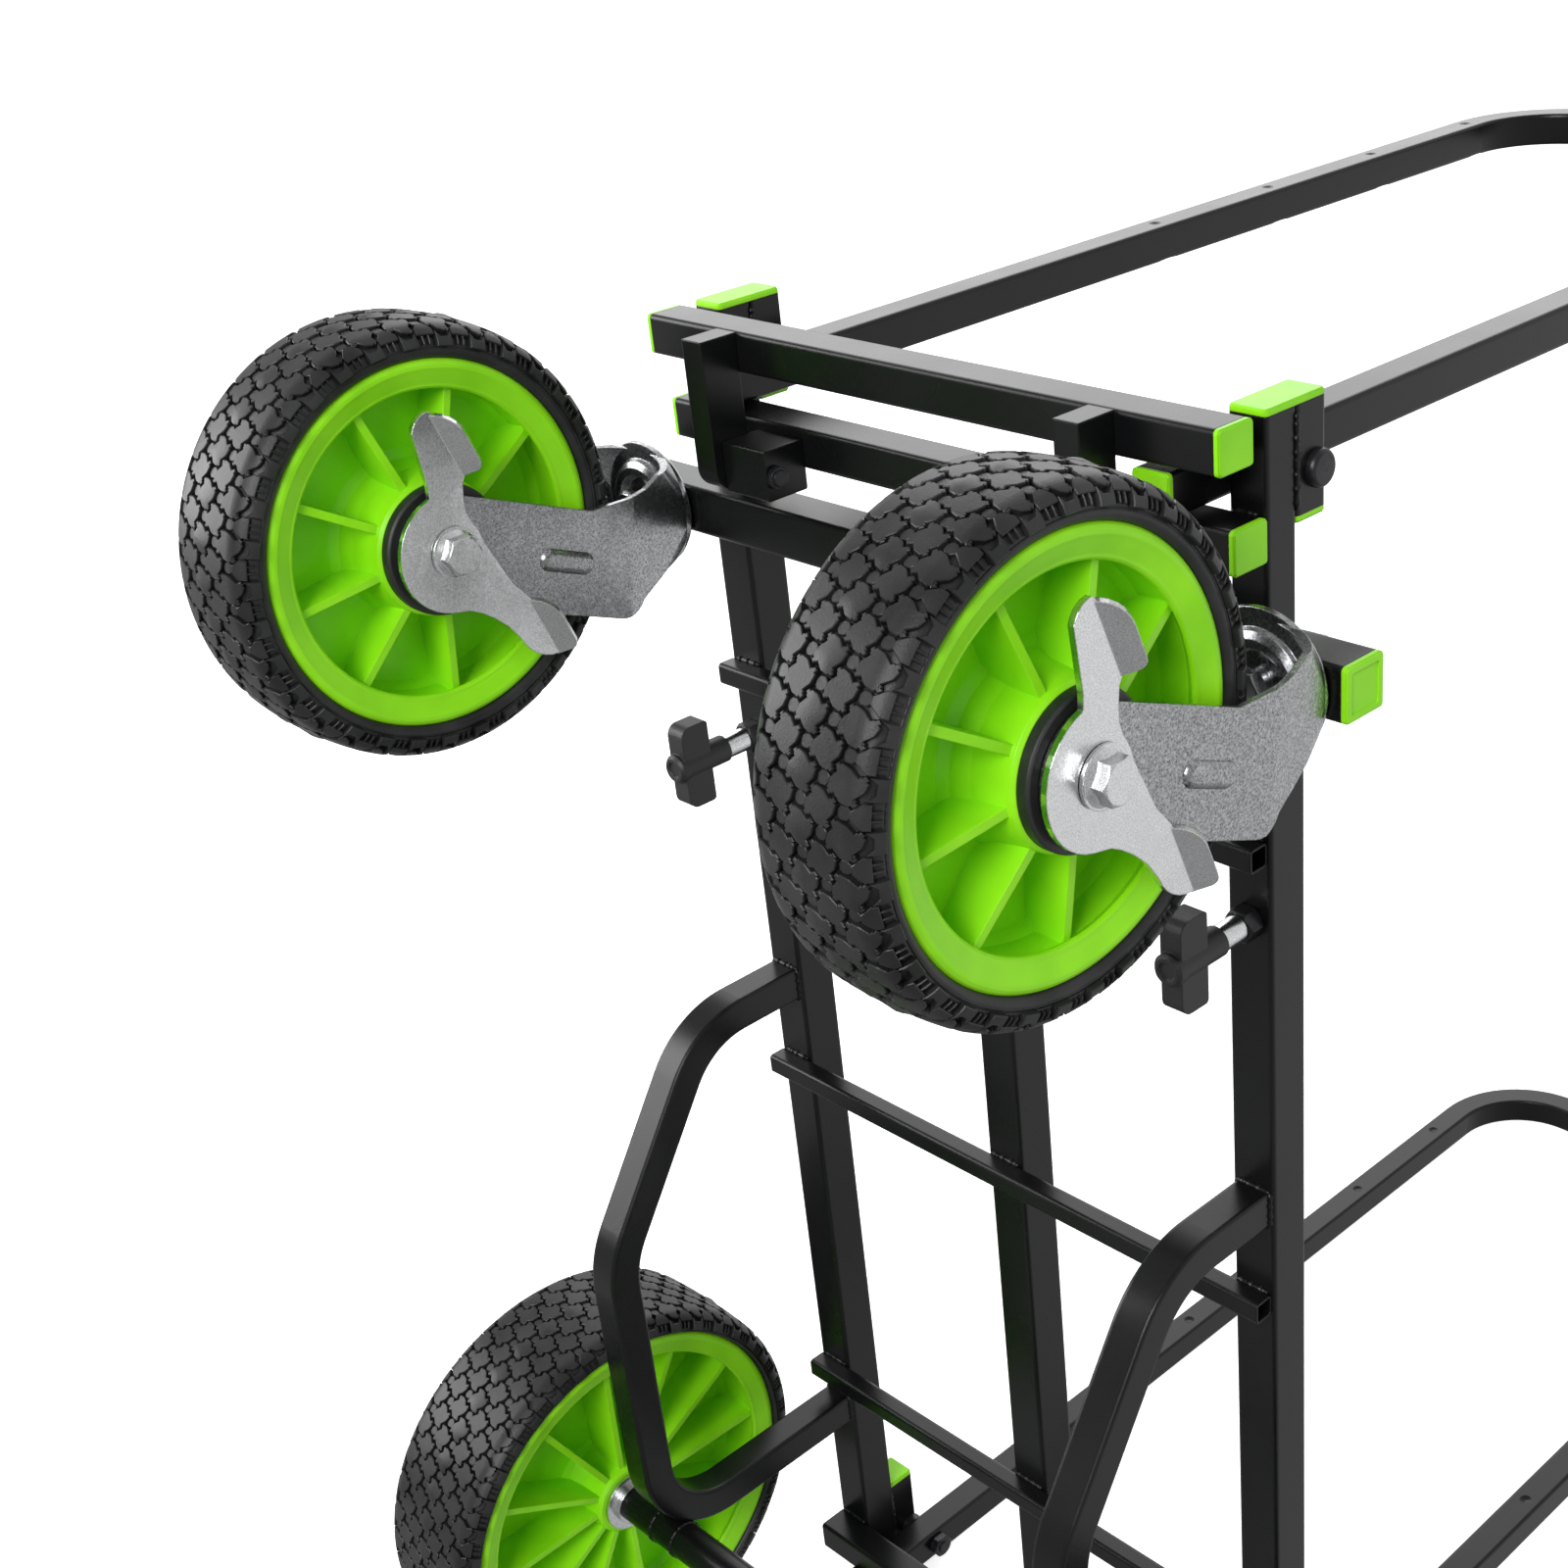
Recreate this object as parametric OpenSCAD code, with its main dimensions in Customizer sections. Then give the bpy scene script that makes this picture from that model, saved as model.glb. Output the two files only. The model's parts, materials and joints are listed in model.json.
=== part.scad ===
// Folding utility cart with a telescoping upright frame: two loops carry the
// load, two large wheels run on the floor and two braked swivel casters come
// down to it when the frame is laid flat. Units are millimetres.

/* [Rails] */
// Width of the upright frame over its two rails
frame_w = 368; // [330:2:440]
// Outside width of the rails' square tube
rail_size = 25; // [25:0.5:30]
// Wall thickness of the rails' tube
rail_wall = 2; // [1.2:0.1:2.3]
// Height of the rails' upper ends
rail_top = 739.7; // [700:1:900]
// Height of the rails' lower ends over the floor
rail_foot = 5; // [4:0.5:10]
// Radius of the edges of every square tube
edge_r = 2; // [1:0.1:2.6]

/* [Telescoping rails] */
// Outside width of the inner rails' square tube
inner_size = 20; // [16:0.5:20.4]
// Wall thickness of the inner rails' tube
inner_wall = 1.5; // [1:0.1:2.5]
// Length of the inner rails inside the outer ones
inner_overlap = 360; // [200:5:500]
// Height of the inner rails' upper ends over the outer rails
inner_rise = 111.8; // [106:0.2:115]

/* [Rungs] */
// Outside width of the rungs' square tube
rung_size = 12; // [8:0.5:18]
// Wall thickness of the rungs' tube
rung_wall = 1.2; // [0.8:0.1:2]
// Length by which each rung stays short of the rails' outer faces
rung_inset = 2; // [0:0.5:8]
// Height of the lowest rung's underside
rung_low_z = 163.5; // [150:1:180]
// Height of the middle rung's underside
rung_mid_z = 396; // [340:1:400]
// Height of the upper rung's underside
rung_top_z = 648; // [640:1:670]
// Outside width of the bar that stops the toe loop
toe_bar_size = 20; // [16:0.5:26]

/* [Rear wheels] */
// Radius of the rear wheels' tyres
rear_r = 130; // [116:0.5:134]
// Width of the rear tyres
rear_w = 85; // [70:1:100]
// Radius of the rear rims
rear_rim_r = 114.5; // [100:0.5:117]
// Number of ribs in a rear rim
rear_ribs = 12; // [8:1:16]
// Radius of a rear rim's hub
rear_hub_r = 23; // [20:0.5:30]
// Depth of the rear hubs' faces inside the tyres' sides
rear_hub_in = 9.5; // [1:0.5:16]
// Distance from a rail's outer face to the rear tyre
rear_gap = 22; // [14:0.5:40]
// Distance from the rails' front faces forward to the axle
axle_reach = 140.5; // [136:0.5:160]
// Outside radius of the axle tube
axle_tube_r = 11.4; // [10.5:0.1:14]
// Radius of the axle rod that the wheels turn on
rod_r = 8; // [6:0.1:9]

/* [Axle brackets] */
// Outside width of the brackets' square tube
bracket_size = 20; // [16:0.5:22]
// Wall thickness of the brackets' and loops' tube
bent_wall = 1.5; // [1:0.1:2.5]
// Height of the middle of the brackets' upper legs
bracket_top = 459.3; // [440:1:500]
// Length of the upper leg's straight stretch
bracket_run = 42; // [30:1:44]
// Angle that the upper bend turns through
bracket_turn = 56; // [50:1:62]
// Radius of the upper bend, at the middle of the tube
upper_bend = 54; // [40:1:58]
// Radius of the elbow bend, at the middle of the tube
elbow_bend = 60; // [40:1:70]
// Radius of the lower bend, at the middle of the tube
lower_bend = 50; // [36:1:56]

/* [Loops] */
// Outside width of the loops' square tube
loop_size = 20; // [16:0.5:22]
// Gap between a loop's arm and the pivot bracket beside it
loop_gap = 6.5; // [5:0.5:20]
// Distance from the rails' front faces back to the load loop's outer end
load_reach = 711; // [500:5:740]
// Distance from the rails' front faces back to the toe loop's outer end
toe_reach = 745.5; // [500:5:800]
// Outside radius of the load loop's corners
load_corner = 70; // [50:1:100]
// Outside radius of the toe loop's corners
toe_corner = 75; // [50:1:100]
// Length of the loops' tails in front of the rails
tail_len = 28; // [24:0.5:32]
// Height of the load loop's underside over the rails' upper ends
load_rise = 71.6; // [71:0.1:73.6]
// Number of pressed dimples along an arm
dimples = 4; // [0:1:6]
// Spacing of the dimples
dimple_pitch = 106; // [60:1:110]
// Distance from the rails' front faces back to the first dimple
dimple_start = 317; // [200:1:330]

/* [Cross bars] */
// Depth of the latch bar and of the cross bar
bar_depth = 22; // [18:0.5:24]
// Height of the latch bar and of the cross bar
bar_h = 20; // [16:0.5:20]
// Length of the two bars with their caps
bar_len = 364; // [356:1:380]
// Height of the cross bar's underside over the rails' upper ends
cross_rise = 49.8; // [47:0.2:50.4]
// Height of the latch bar's underside over the rails' upper ends
latch_rise = 94.6; // [93.6:0.2:100]
// Distance from the rails' front faces forward to the latch bar's rear face
latch_set = 6; // [5:0.5:8]
// Outside width of the caster bar's square tube
caster_bar_size = 25; // [22:0.5:27]
// Length of the caster bar beyond the swivel axis, with its cap
caster_bar_over = 38.5; // [34:0.5:50]
// Thickness of the plastic end caps' plates
cap_t = 3; // [2:0.1:3.4]

/* [Latch] */
// Distance between the outer faces of the two latch arms
latch_w = 254; // [220:2:262]
// Thickness of a latch arm
latch_arm_t = 14; // [8:0.5:18]
// Depth of a latch arm
latch_arm_d = 22; // [18:0.5:24]
// Length of the blocks that carry the latch
block_len = 30.7; // [20:0.5:40]
// Depth and height of these blocks
block_size = 25; // [22:0.5:26]
// Radius of the latch bolts
latch_bolt_r = 4; // [3:0.1:5]

/* [Pivot brackets] */
// Depth of the tube that holds a loop's pivot
pivot_tube = 20; // [18:0.5:24]
// Length of this tube with its caps
pivot_tube_len = 54; // [48:0.5:58]
// Distance from the tube's front face back to the pivot
pivot_back = 14; // [10:0.5:14.2]
// Radius of the pivot bolts
pivot_r = 4; // [3:0.1:4.5]
// Radius of the pivot bolts' round heads
pivot_head_r = 8.5; // [7:0.1:9]

/* [Casters] */
// Radius of the casters' tyres
caster_r = 106; // [90:0.5:108]
// Width of the casters' tyres
caster_w = 64; // [50:0.5:66]
// Radius of the casters' rims
caster_rim_r = 88; // [74:0.5:90]
// Number of ribs in a caster's rim
caster_ribs = 9; // [6:1:12]
// Radius of a caster rim's hub
caster_hub_r = 33; // [30:0.5:38]
// Depth of the caster hubs' faces inside the tyres' sides
caster_hub_in = 1; // [0.5:0.1:3]
// Thickness of the rims' ribs
rib_t = 4; // [2.5:0.1:6]
// Distance from a rail's outer face to the swivel axis
caster_out = 18; // [12:0.5:24]
// Distance from the rails' front faces forward to the caster's axle
caster_reach = 173.5; // [170:0.5:190]
// Offset of the caster's axle from the swivel axis
caster_trail = 26.5; // [20:0.5:32]
// Thickness of the fork's and the pedal's sheet
sheet_t = 3; // [2:0.1:3.4]
// Distance between the fork's outer faces
fork_w = 80; // [78:0.5:88]
// Half width of the fork's legs
leg_r = 26.3; // [22:0.1:28]
// Radius of the swivel race
race_r = 31; // [26:0.5:33]
// Radius of the caster bolts and of the swivel bolts
bolt_r = 6; // [5:0.1:6.5]

/* [Brake pedals] */
// Radius of the pedal's round body
pedal_r = 29; // [27:0.5:31]
// Length of a pedal lobe beyond the round body
lobe_len = 39; // [34:0.5:44]
// Width of a pedal lobe up to its fold
lobe_w = 22; // [19:0.5:24]
// Width of the folded tread of a lobe
tread_w = 12; // [10:0.5:14]
// Length of a tread along its fold
tread_len = 35; // [30:0.5:38]
// Angle that the tread is folded out by
tread_fold = 42; // [30:1:60]
// Slant of the folds from the upright
fold_slant = 21; // [12:1:28]
// Radius of the brake disc behind the fork
disc_r = 31.5; // [29:0.5:36]

/* [Clamp knobs] */
// Height of the clamp knobs' axes
knob_z = 617; // [580:1:620]
// Length of a knob's cross handle
knob_len = 47; // [36:0.5:54]
// Thickness of the cross handle
knob_t = 12; // [11:0.5:15]
// Depth of the cross handle along the screw
knob_deep = 18; // [14:0.5:20]
// Length of the stem behind the handle
knob_stem = 13; // [10:0.5:16]
// Radius of the clamp screws
screw_r = 4; // [3:0.1:5]

/* [Hidden] */

// Clearances: between seated pieces, in a running fit and round a tube's plug.
seat = 0.3;
run = 0.06;
plug_gap = 0.2;
plug_len = 8;
round_n = 64;
// The loops' pressed marks: a round dent on top, a shallow wave underneath.
dent_deep = 1;
dent_r = 8;
wave_r = 42;
bend_n = 96;
// Swivel bolts: height of head and nut, the thread past the nut, the head's place in the crown.
swivel_nut_h = 7;
thread_over = 0.5;
swivel_head_in = 5;

black = [0.06, 0.06, 0.065];
lime = [0.5, 0.85, 0.08];
rubber = [0.09, 0.09, 0.09];
zinc = [0.78, 0.79, 0.8];

// Places that follow from the sizes. X is across, Y back from the rails'
// front faces to the loops' ends and Z up from the floor.
rail_x = frame_w / 2 - rail_size / 2;
loop_w = 2 * (rail_x - bracket_size / 2 - loop_gap);
inner_y = rail_size / 2 - inner_size / 2;
inner_top = rail_top + inner_rise;
inner_foot = rail_top - inner_overlap;
cross_z = rail_top + cross_rise;
latch_z = rail_top + latch_rise;
load_z = rail_top + load_rise;
caster_bar_z = rail_top + seat;
caster_bar_y = inner_y - caster_bar_size;
caster_x = frame_w / 2 + caster_out;
caster_bar_len = 2 * (caster_x + caster_bar_over);
caster_z = caster_bar_z + caster_bar_size / 2;
arm_x = loop_w / 2 - loop_size / 2;
axle_z = rear_r;
rear_x = frame_w / 2 + rear_gap + rear_w / 2;
rear_hub_half = rear_w / 2 - rear_hub_in;
caster_hub_half = caster_w / 2 - caster_hub_in;
weld_angle = 55;
weld_reach = lower_bend + bracket_size / 2 + axle_tube_r + seat / 2;
bend_y = -axle_reach + weld_reach * cos(weld_angle);
bend_z = axle_z + weld_reach * sin(weld_angle);
load_pivot = [inner_y + inner_size + pivot_back, load_z + loop_size / 2];
toe_pivot = [rail_size + pivot_back, loop_size / 2];
block_y = inner_y - bar_depth - block_size;
block_z = cross_z + bar_h / 2 - block_size / 2 - 7.3;
latch_pivot = [-latch_set - bar_depth - latch_arm_d / 2 + 0.5, block_z + 11];
arm_face = latch_w / 2 - latch_arm_t;
race_t = 4;
crown_r = race_r + 1.5;
crown_y = caster_bar_y - race_t - seat;
disc_t = fork_w / 2 - sheet_t - caster_hub_half - 2 * seat;
fold_line = tread_len * [sin(fold_slant), -cos(fold_slant)];
upper_fold = [0.5, pedal_r + lobe_len - 1];
lower_fold = [1.26 * pedal_r, -1.19 * pedal_r];
washer_t = 1.5;
nut_h = 1.3 * bolt_r;
axle_nut_h = rod_r;
flange_t = 2.5;
bush_len = 6.4;
knob_gap = 24;
washer_r = 2.1 * bolt_r;
// The middle of the cart's length is the origin, on the floor.
mid_y = (toe_reach - caster_reach - caster_r) / 2;

function arc(x, y, r, from, to, n) =
    [for (i = [0:n]) let (a = from + (to - from) * i / n) [x + r * cos(a), y + r * sin(a)]];
function box_points(w, h, r) = concat(
    arc(w / 2 - r, h / 2 - r, r, 0, 90, 3), arc(r - w / 2, h / 2 - r, r, 90, 180, 3),
    arc(r - w / 2, r - h / 2, r, 180, 270, 3), arc(w / 2 - r, r - h / 2, r, 270, 360, 3));
function flip(points) = [for (i = [len(points) - 1:-1:0]) [points[i][0], -points[i][1]]];

module on_floor(shade) {
    color(shade) translate([0, -mid_y, 0]) children();
}

module both_sides() {
    for (side = [-1, 1]) scale_x(side) children();
}

module scale_x(side) {
    if (side < 0) mirror([1, 0, 0]) children();
    else children();
}

// Turns a solid that stands on the floor plane so that its height runs along X.
module along_x() {
    rotate([90, 0, 90]) children();
}

// The same for the Y axis, with the height running forward.
module along_y() {
    rotate([90, 0, 0]) children();
}

module tube_face(w, h, wall) {
    difference() {
        polygon(box_points(w, h, edge_r));
        polygon(box_points(w - 2 * wall, h - 2 * wall, max(edge_r - wall, 0.4)));
    }
}

module tube(w, h, wall, length) {
    linear_extrude(length) tube_face(w, h, wall);
}

// A square tube bent in one plane. Each leg is [straight length, bend radius,
// bend angle]; the tube starts at the origin along +X and bends towards +Y.
module bent_tube(size, wall, legs, i = 0) {
    length = legs[i][0];
    radius = legs[i][1];
    turn = legs[i][2];
    along_x() tube(size, size, wall, length);
    if (turn > 0) {
        translate([length, radius, 0])
            rotate_extrude(angle = turn, start = -90, $fn = bend_n)
                translate([radius, 0]) tube_face(size, size, wall);
        translate([length + radius * sin(turn), radius * (1 - cos(turn)), 0])
            rotate([0, 0, turn]) bent_tube(size, wall, legs, i + 1);
    }
}

// An end cap: a plate with softened edges and a plug that enters the tube.
module cap(w, h, wall, thick = cap_t, plug = plug_len) {
    linear_extrude(thick - 0.8) polygon(box_points(w, h, edge_r));
    translate([0, 0, thick - 0.8])
        linear_extrude(0.8) polygon(box_points(w - 1.2, h - 1.2, edge_r - 0.6));
    translate([0, 0, -plug])
        linear_extrude(plug)
            polygon(box_points(w - 2 * wall - 2 * plug_gap, h - 2 * wall - 2 * plug_gap, 0.5));
}

// A hexagon head or nut with both ends turned to a chamfer.
module hexagon(r, length) {
    intersection() {
        cylinder(r = r, h = length, $fn = 6);
        rotate_extrude($fn = round_n) polygon([[0, 0], [0.84 * r, 0], [r + 1, 0.15 * r + 0.5],
            [r + 1, length - 0.15 * r - 0.5], [0.84 * r, length], [0, length]]);
    }
}

module bore(r, length) {
    cylinder(r = r, h = length, center = true, $fn = round_n);
}

// ---- Lower frame ----

module outer_rail(side) {
    on_floor(black) difference() {
        translate([side * rail_x, rail_size / 2, rail_foot])
            tube(rail_size, rail_size, rail_wall, rail_top - rail_foot);
        translate([side * rail_x, 0, knob_z]) along_y() bore(screw_r + 0.5, 3 * rail_wall);
    }
}

module centre_rail() {
    on_floor(black) translate([0, rail_size / 2, rail_foot])
        tube(rail_size, rail_size, rail_wall, rung_top_z + rung_size - rail_foot);
}

module rung(z) {
    length = frame_w - 2 * rung_inset;
    on_floor(black) translate([-length / 2, -rung_size / 2, z + rung_size / 2])
        along_x() tube(rung_size, rung_size, rung_wall, length);
}

module toe_bar() {
    length = frame_w - 2 * rung_inset;
    on_floor(black)
        translate([-length / 2, -toe_bar_size / 2, loop_size + seat + toe_bar_size / 2])
            along_x() tube(toe_bar_size, toe_bar_size, bent_wall, length);
}

// Bent from one tube: out from the rail, down the slant, down the upright leg
// that carries the axle's weld at its lower bend, and back to the rail.
module axle_bracket(side) {
    leg_y = bend_y - lower_bend;
    slant = 90 - bracket_turn;
    slant_y = -bracket_run - upper_bend * sin(bracket_turn);
    elbow_y = leg_y + elbow_bend * (1 - cos(slant));
    slant_len = (slant_y - elbow_y) / sin(slant);
    elbow_z = bracket_top - upper_bend * (1 - cos(bracket_turn))
        - slant_len * cos(slant) - elbow_bend * sin(slant);
    on_floor(black) translate([side * rail_x, 0, bracket_top])
        rotate([90, 0, -90]) mirror([0, 1, 0])
            bent_tube(bracket_size, bent_wall, [
                [bracket_run, upper_bend, bracket_turn],
                [slant_len, elbow_bend, slant],
                [elbow_z - bend_z, lower_bend, 90],
                [-bend_y, 0, 0]]);
}

module axle_tube() {
    length = 2 * (rear_x - rear_hub_half - bush_len - 2 * seat);
    on_floor(black) translate([-length / 2, -axle_reach, axle_z]) along_x() difference() {
        cylinder(r = axle_tube_r, h = length, $fn = round_n);
        translate([0, 0, length / 2]) bore(rod_r + seat, 2 * length);
    }
}

module axle_rod() {
    length = 2 * (rear_x + rear_hub_half + flange_t + axle_nut_h + seat + 1.7);
    on_floor(zinc) translate([-length / 2, -axle_reach, axle_z])
        along_x() cylinder(r = rod_r, h = length, $fn = round_n);
}

// At each wheel: a flanged bush inside the hub, a washer and a nut outside it.
module axle_fasteners() {
    inner_face = rear_x - rear_hub_half - seat;
    outer_face = rear_x + rear_hub_half + seat;
    on_floor(zinc) both_sides() translate([0, -axle_reach, axle_z]) along_x() difference() {
        union() {
            translate([0, 0, inner_face - flange_t]) cylinder(r = 2.4 * rod_r, h = flange_t, $fn = round_n);
            translate([0, 0, inner_face - bush_len]) cylinder(r = 1.7 * rod_r, h = bush_len, $fn = round_n);
            translate([0, 0, outer_face]) cylinder(r = 2 * rod_r, h = flange_t, $fn = round_n);
            translate([0, 0, outer_face + flange_t]) hexagon(1.7 * rod_r, axle_nut_h);
        }
        bore(rod_r + run, 3 * rear_x);
    }
}

module foot_caps() {
    on_floor(lime) {
        for (x = [-rail_x, 0, rail_x])
            translate([x, rail_size / 2, rail_foot])
                mirror([0, 0, 1]) cap(rail_size, rail_size, rail_wall);
        both_sides() {
            translate([rail_x, rail_size + pivot_tube / 2, 1 + cap_t])
                mirror([0, 0, 1]) cap(bracket_size, pivot_tube, bent_wall, cap_t, 1);
            translate([rail_x, rail_size + pivot_tube / 2, pivot_tube_len - cap_t + 1])
                cap(bracket_size, pivot_tube, bent_wall);
        }
    }
}

// An upright stub of tube behind a rail, crossed by a loop's pivot bolt.
module pivot_stub(side, y, z, pivot) {
    on_floor(black) difference() {
        translate([side * rail_x, y + pivot_tube / 2, z])
            tube(bracket_size, pivot_tube, bent_wall, pivot_tube_len - 2 * cap_t);
        translate([side * rail_x, pivot[0], pivot[1]]) along_x() bore(pivot_r + run, 2 * bracket_size);
    }
}

// A round-headed bolt through the stub, a spacer and the loop's arm, with its nut.
module pivot_bolt(pivot) {
    head_x = rail_x + bracket_size / 2;
    inner_x = arm_x - loop_size / 2;
    translate([0, pivot[0], pivot[1]]) along_x() {
        translate([0, 0, inner_x - 7]) cylinder(r = pivot_r, h = head_x - inner_x + 8, $fn = round_n);
        translate([0, 0, head_x]) rotate_extrude($fn = round_n)
            polygon(concat([[0, 0], [pivot_head_r, 0]],
                [for (a = [0:15:75]) [pivot_head_r * (0.7 + 0.3 * cos(a)), 1.5 + 3 * sin(a)]],
                [[0, 4.6]]));
        translate([0, 0, inner_x - 6]) hexagon(2 * pivot_r, 6);
        translate([0, 0, inner_x + loop_size + seat / 2])
            cylinder(r = 2 * pivot_r, h = loop_gap - seat, $fn = round_n);
    }
}

module toe_bolts() {
    on_floor(black) both_sides() pivot_bolt(toe_pivot);
}

module knob_nuts() {
    on_floor(black) both_sides() translate([rail_x, 0, knob_z]) along_y() difference() {
        hexagon(2.2 * screw_r, 9);
        bore(screw_r + run, 40);
    }
}

// ---- Wheels ----

// Half of the rim's section, as [radius, distance from the middle plane].
function rim_half(rim, w, hub, face, bore_r) = concat([
    [bore_r, 0], [bore_r, face], [hub - 1.5, face], [hub, face - 1.5],
    [hub + 2, 0.4 * face], [hub + 5, 0.15 * face], [hub + 10, 2.5], [rim - 17, 2.5], [rim - 13, 7],
    [rim - 12.5, w / 2 - 12]],
    arc(rim - 12.6, w / 2 - 8.4, 2.2, 180, 80, 3), arc(rim - 4, w / 2 - 7.4, 4, 125, 0, 5),
    [[rim, w / 2 - 8], [rim - 7, w / 2 - 10], [rim - 7, 0]]);

module rim(r, w, hub, face, bore_r, ribs) {
    half = rim_half(r, w, hub, face, bore_r);
    rotate([0, 90, 0]) {
        rotate_extrude($fn = bend_n) polygon(concat(half, flip([for (i = [1:len(half) - 2]) half[i]])));
        for (i = [0:ribs - 1]) rotate([0, 0, i * 360 / ribs])
            rotate([90, 0, 0]) translate([0, 0, -rib_t / 2])
                linear_extrude(rib_t) polygon([[hub - 2, 3 - face], [r - 9.5, 11 - w / 2],
                    [r - 9.5, w / 2 - 11], [hub - 2, face - 3]]);
    }
}

// Half of the tyre's section: bead, smooth wall, shoulder and crowned tread.
function tyre_half(r, w, rim) = concat(
    [[rim - 7 + seat / 2, 0], [rim - 7 + seat / 2, w / 2 - 10.4], [rim + seat / 2, w / 2 - 8.3],
     [rim + seat / 2, w / 2 - 2.5]],
    arc(rim + 3.4, w / 2 - 3, 3, 150, 90, 3),
    arc(r - 10, w / 2 - 10, 10, 78, 24, 5),
    [[r - 0.3, w / 6], [r, 0]]);

module tyre(r, w, rim) {
    half = tyre_half(r, w, rim);
    rotate([0, 90, 0]) rotate_extrude($fn = 128)
        polygon(concat(half, flip([for (i = [1:len(half) - 2]) half[i]])));
}

module rear_wheel(side) {
    translate([side * rear_x, -axle_reach, axle_z]) children();
}

module rear_rim(side) {
    on_floor(lime) rear_wheel(side)
        rim(rear_rim_r, rear_w, rear_hub_r, rear_hub_half, rod_r + run, rear_ribs);
}

module rear_tyre(side) {
    on_floor(rubber) rear_wheel(side) tyre(rear_r, rear_w, rear_rim_r);
}

module caster_rim(side) {
    on_floor(lime) caster_wheel(side)
        rim(caster_rim_r, caster_w, caster_hub_r, caster_hub_half, bolt_r + run, caster_ribs);
}

module caster_tyre(side) {
    on_floor(rubber) caster_wheel(side) tyre(caster_r, caster_w, caster_rim_r);
}

// ---- Loops ----

module loop(reach, corner, z, pivot) {
    bend = corner - loop_size / 2;
    side_len = reach + tail_len - cap_t - corner;
    difference() {
        translate([arm_x, cap_t - tail_len, z + loop_size / 2])
            rotate([0, 0, 90]) bent_tube(loop_size, bent_wall, [
                [side_len, bend, 90], [2 * (arm_x - bend), bend, 90], [side_len, 0, 0]]);
        translate([0, pivot[0], pivot[1]]) along_x() bore(pivot_r + run, loop_w + 10);
        if (dimples > 0) for (x = [-arm_x, arm_x], i = [0:dimples - 1])
            translate([x, dimple_start + i * dimple_pitch, z]) {
                translate([0, 0, loop_size + dent_r - dent_deep]) sphere(r = dent_r, $fn = 32);
                translate([-loop_size / 2, 0, dent_deep - wave_r])
                    along_x() cylinder(r = wave_r, h = loop_size, $fn = 128);
            }
    }
}

module loop_caps(z) {
    for (x = [-arm_x, arm_x])
        translate([x, cap_t - tail_len, z + loop_size / 2])
            along_y() cap(loop_size, loop_size, bent_wall);
}

module toe_loop() {
    on_floor(black) loop(toe_reach, toe_corner, 0, toe_pivot);
}

module toe_loop_caps() {
    on_floor(lime) loop_caps(0);
}

module load_loop() {
    on_floor(black) loop(load_reach, load_corner, load_z, load_pivot);
}

module load_loop_caps() {
    on_floor(lime) loop_caps(load_z);
}

// ---- Upper frame ----

module inner_rail(side) {
    on_floor(black) translate([side * rail_x, rail_size / 2, inner_foot])
        tube(inner_size, inner_size, inner_wall, inner_top - inner_foot);
}

// A tube that lies across the frame, between its two caps.
module lying_bar(length, y, depth, z, height) {
    tube_len = length - 2 * cap_t;
    translate([-tube_len / 2, y + depth / 2, z + height / 2])
        along_x() tube(depth, height, bent_wall, tube_len);
}

module lying_caps(length, y, depth, z, height) {
    both_sides() translate([length / 2 - cap_t, y + depth / 2, z + height / 2])
        along_x() cap(depth, height, bent_wall);
}

module cross_bar() {
    on_floor(black) lying_bar(bar_len, inner_y - bar_depth, bar_depth, cross_z, bar_h);
}

module cross_bar_caps() {
    on_floor(lime) lying_caps(bar_len, inner_y - bar_depth, bar_depth, cross_z, bar_h);
}

module caster_bar() {
    on_floor(black) difference() {
        lying_bar(caster_bar_len, caster_bar_y, caster_bar_size, caster_bar_z, caster_bar_size);
        for (x = [-caster_x, caster_x])
            translate([x, 0, caster_z]) along_y() bore(bolt_r + run, 4 * caster_bar_size);
    }
}

// The caster bar's caps are framed: a raised border round a sunk panel.
module caster_bar_caps() {
    on_floor(lime) difference() {
        lying_caps(caster_bar_len, caster_bar_y, caster_bar_size, caster_bar_z, caster_bar_size);
        both_sides() translate([caster_bar_len / 2 - 0.7, caster_bar_y + caster_bar_size / 2, caster_z])
            along_x() linear_extrude(2)
                polygon(box_points(caster_bar_size - 7, caster_bar_size - 7, 1));
    }
}

module pivot_bracket(side) {
    pivot_stub(side, inner_y + inner_size, inner_top + 2 * cap_t - pivot_tube_len, load_pivot);
}

// One cap closes each inner rail and the pivot tube behind it.
module top_caps() {
    depth = inner_size + pivot_tube;
    on_floor(lime) both_sides() translate([rail_x, inner_y + depth / 2, inner_top]) {
        cap(max(inner_size, bracket_size), depth, inner_wall, cap_t, 0.01);
        translate([0, (inner_size - depth) / 2, -plug_len]) linear_extrude(plug_len + 1)
            polygon(box_points(inner_size - 2 * inner_wall - 2 * plug_gap,
                inner_size - 2 * inner_wall - 2 * plug_gap, 0.5));
        translate([0, (depth - pivot_tube) / 2, -plug_len]) linear_extrude(plug_len + 1)
            polygon(box_points(bracket_size - 2 * bent_wall - 2 * plug_gap,
                pivot_tube - 2 * bent_wall - 2 * plug_gap, 0.5));
    }
}

module bracket_caps() {
    on_floor(lime) both_sides()
        translate([rail_x, inner_y + inner_size + pivot_tube / 2, inner_top + 2 * cap_t - pivot_tube_len])
            mirror([0, 0, 1]) cap(bracket_size, pivot_tube, bent_wall);
}

module pivot_bolts() {
    on_floor(black) both_sides() pivot_bolt(load_pivot);
}

// ---- Latch ----

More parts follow.
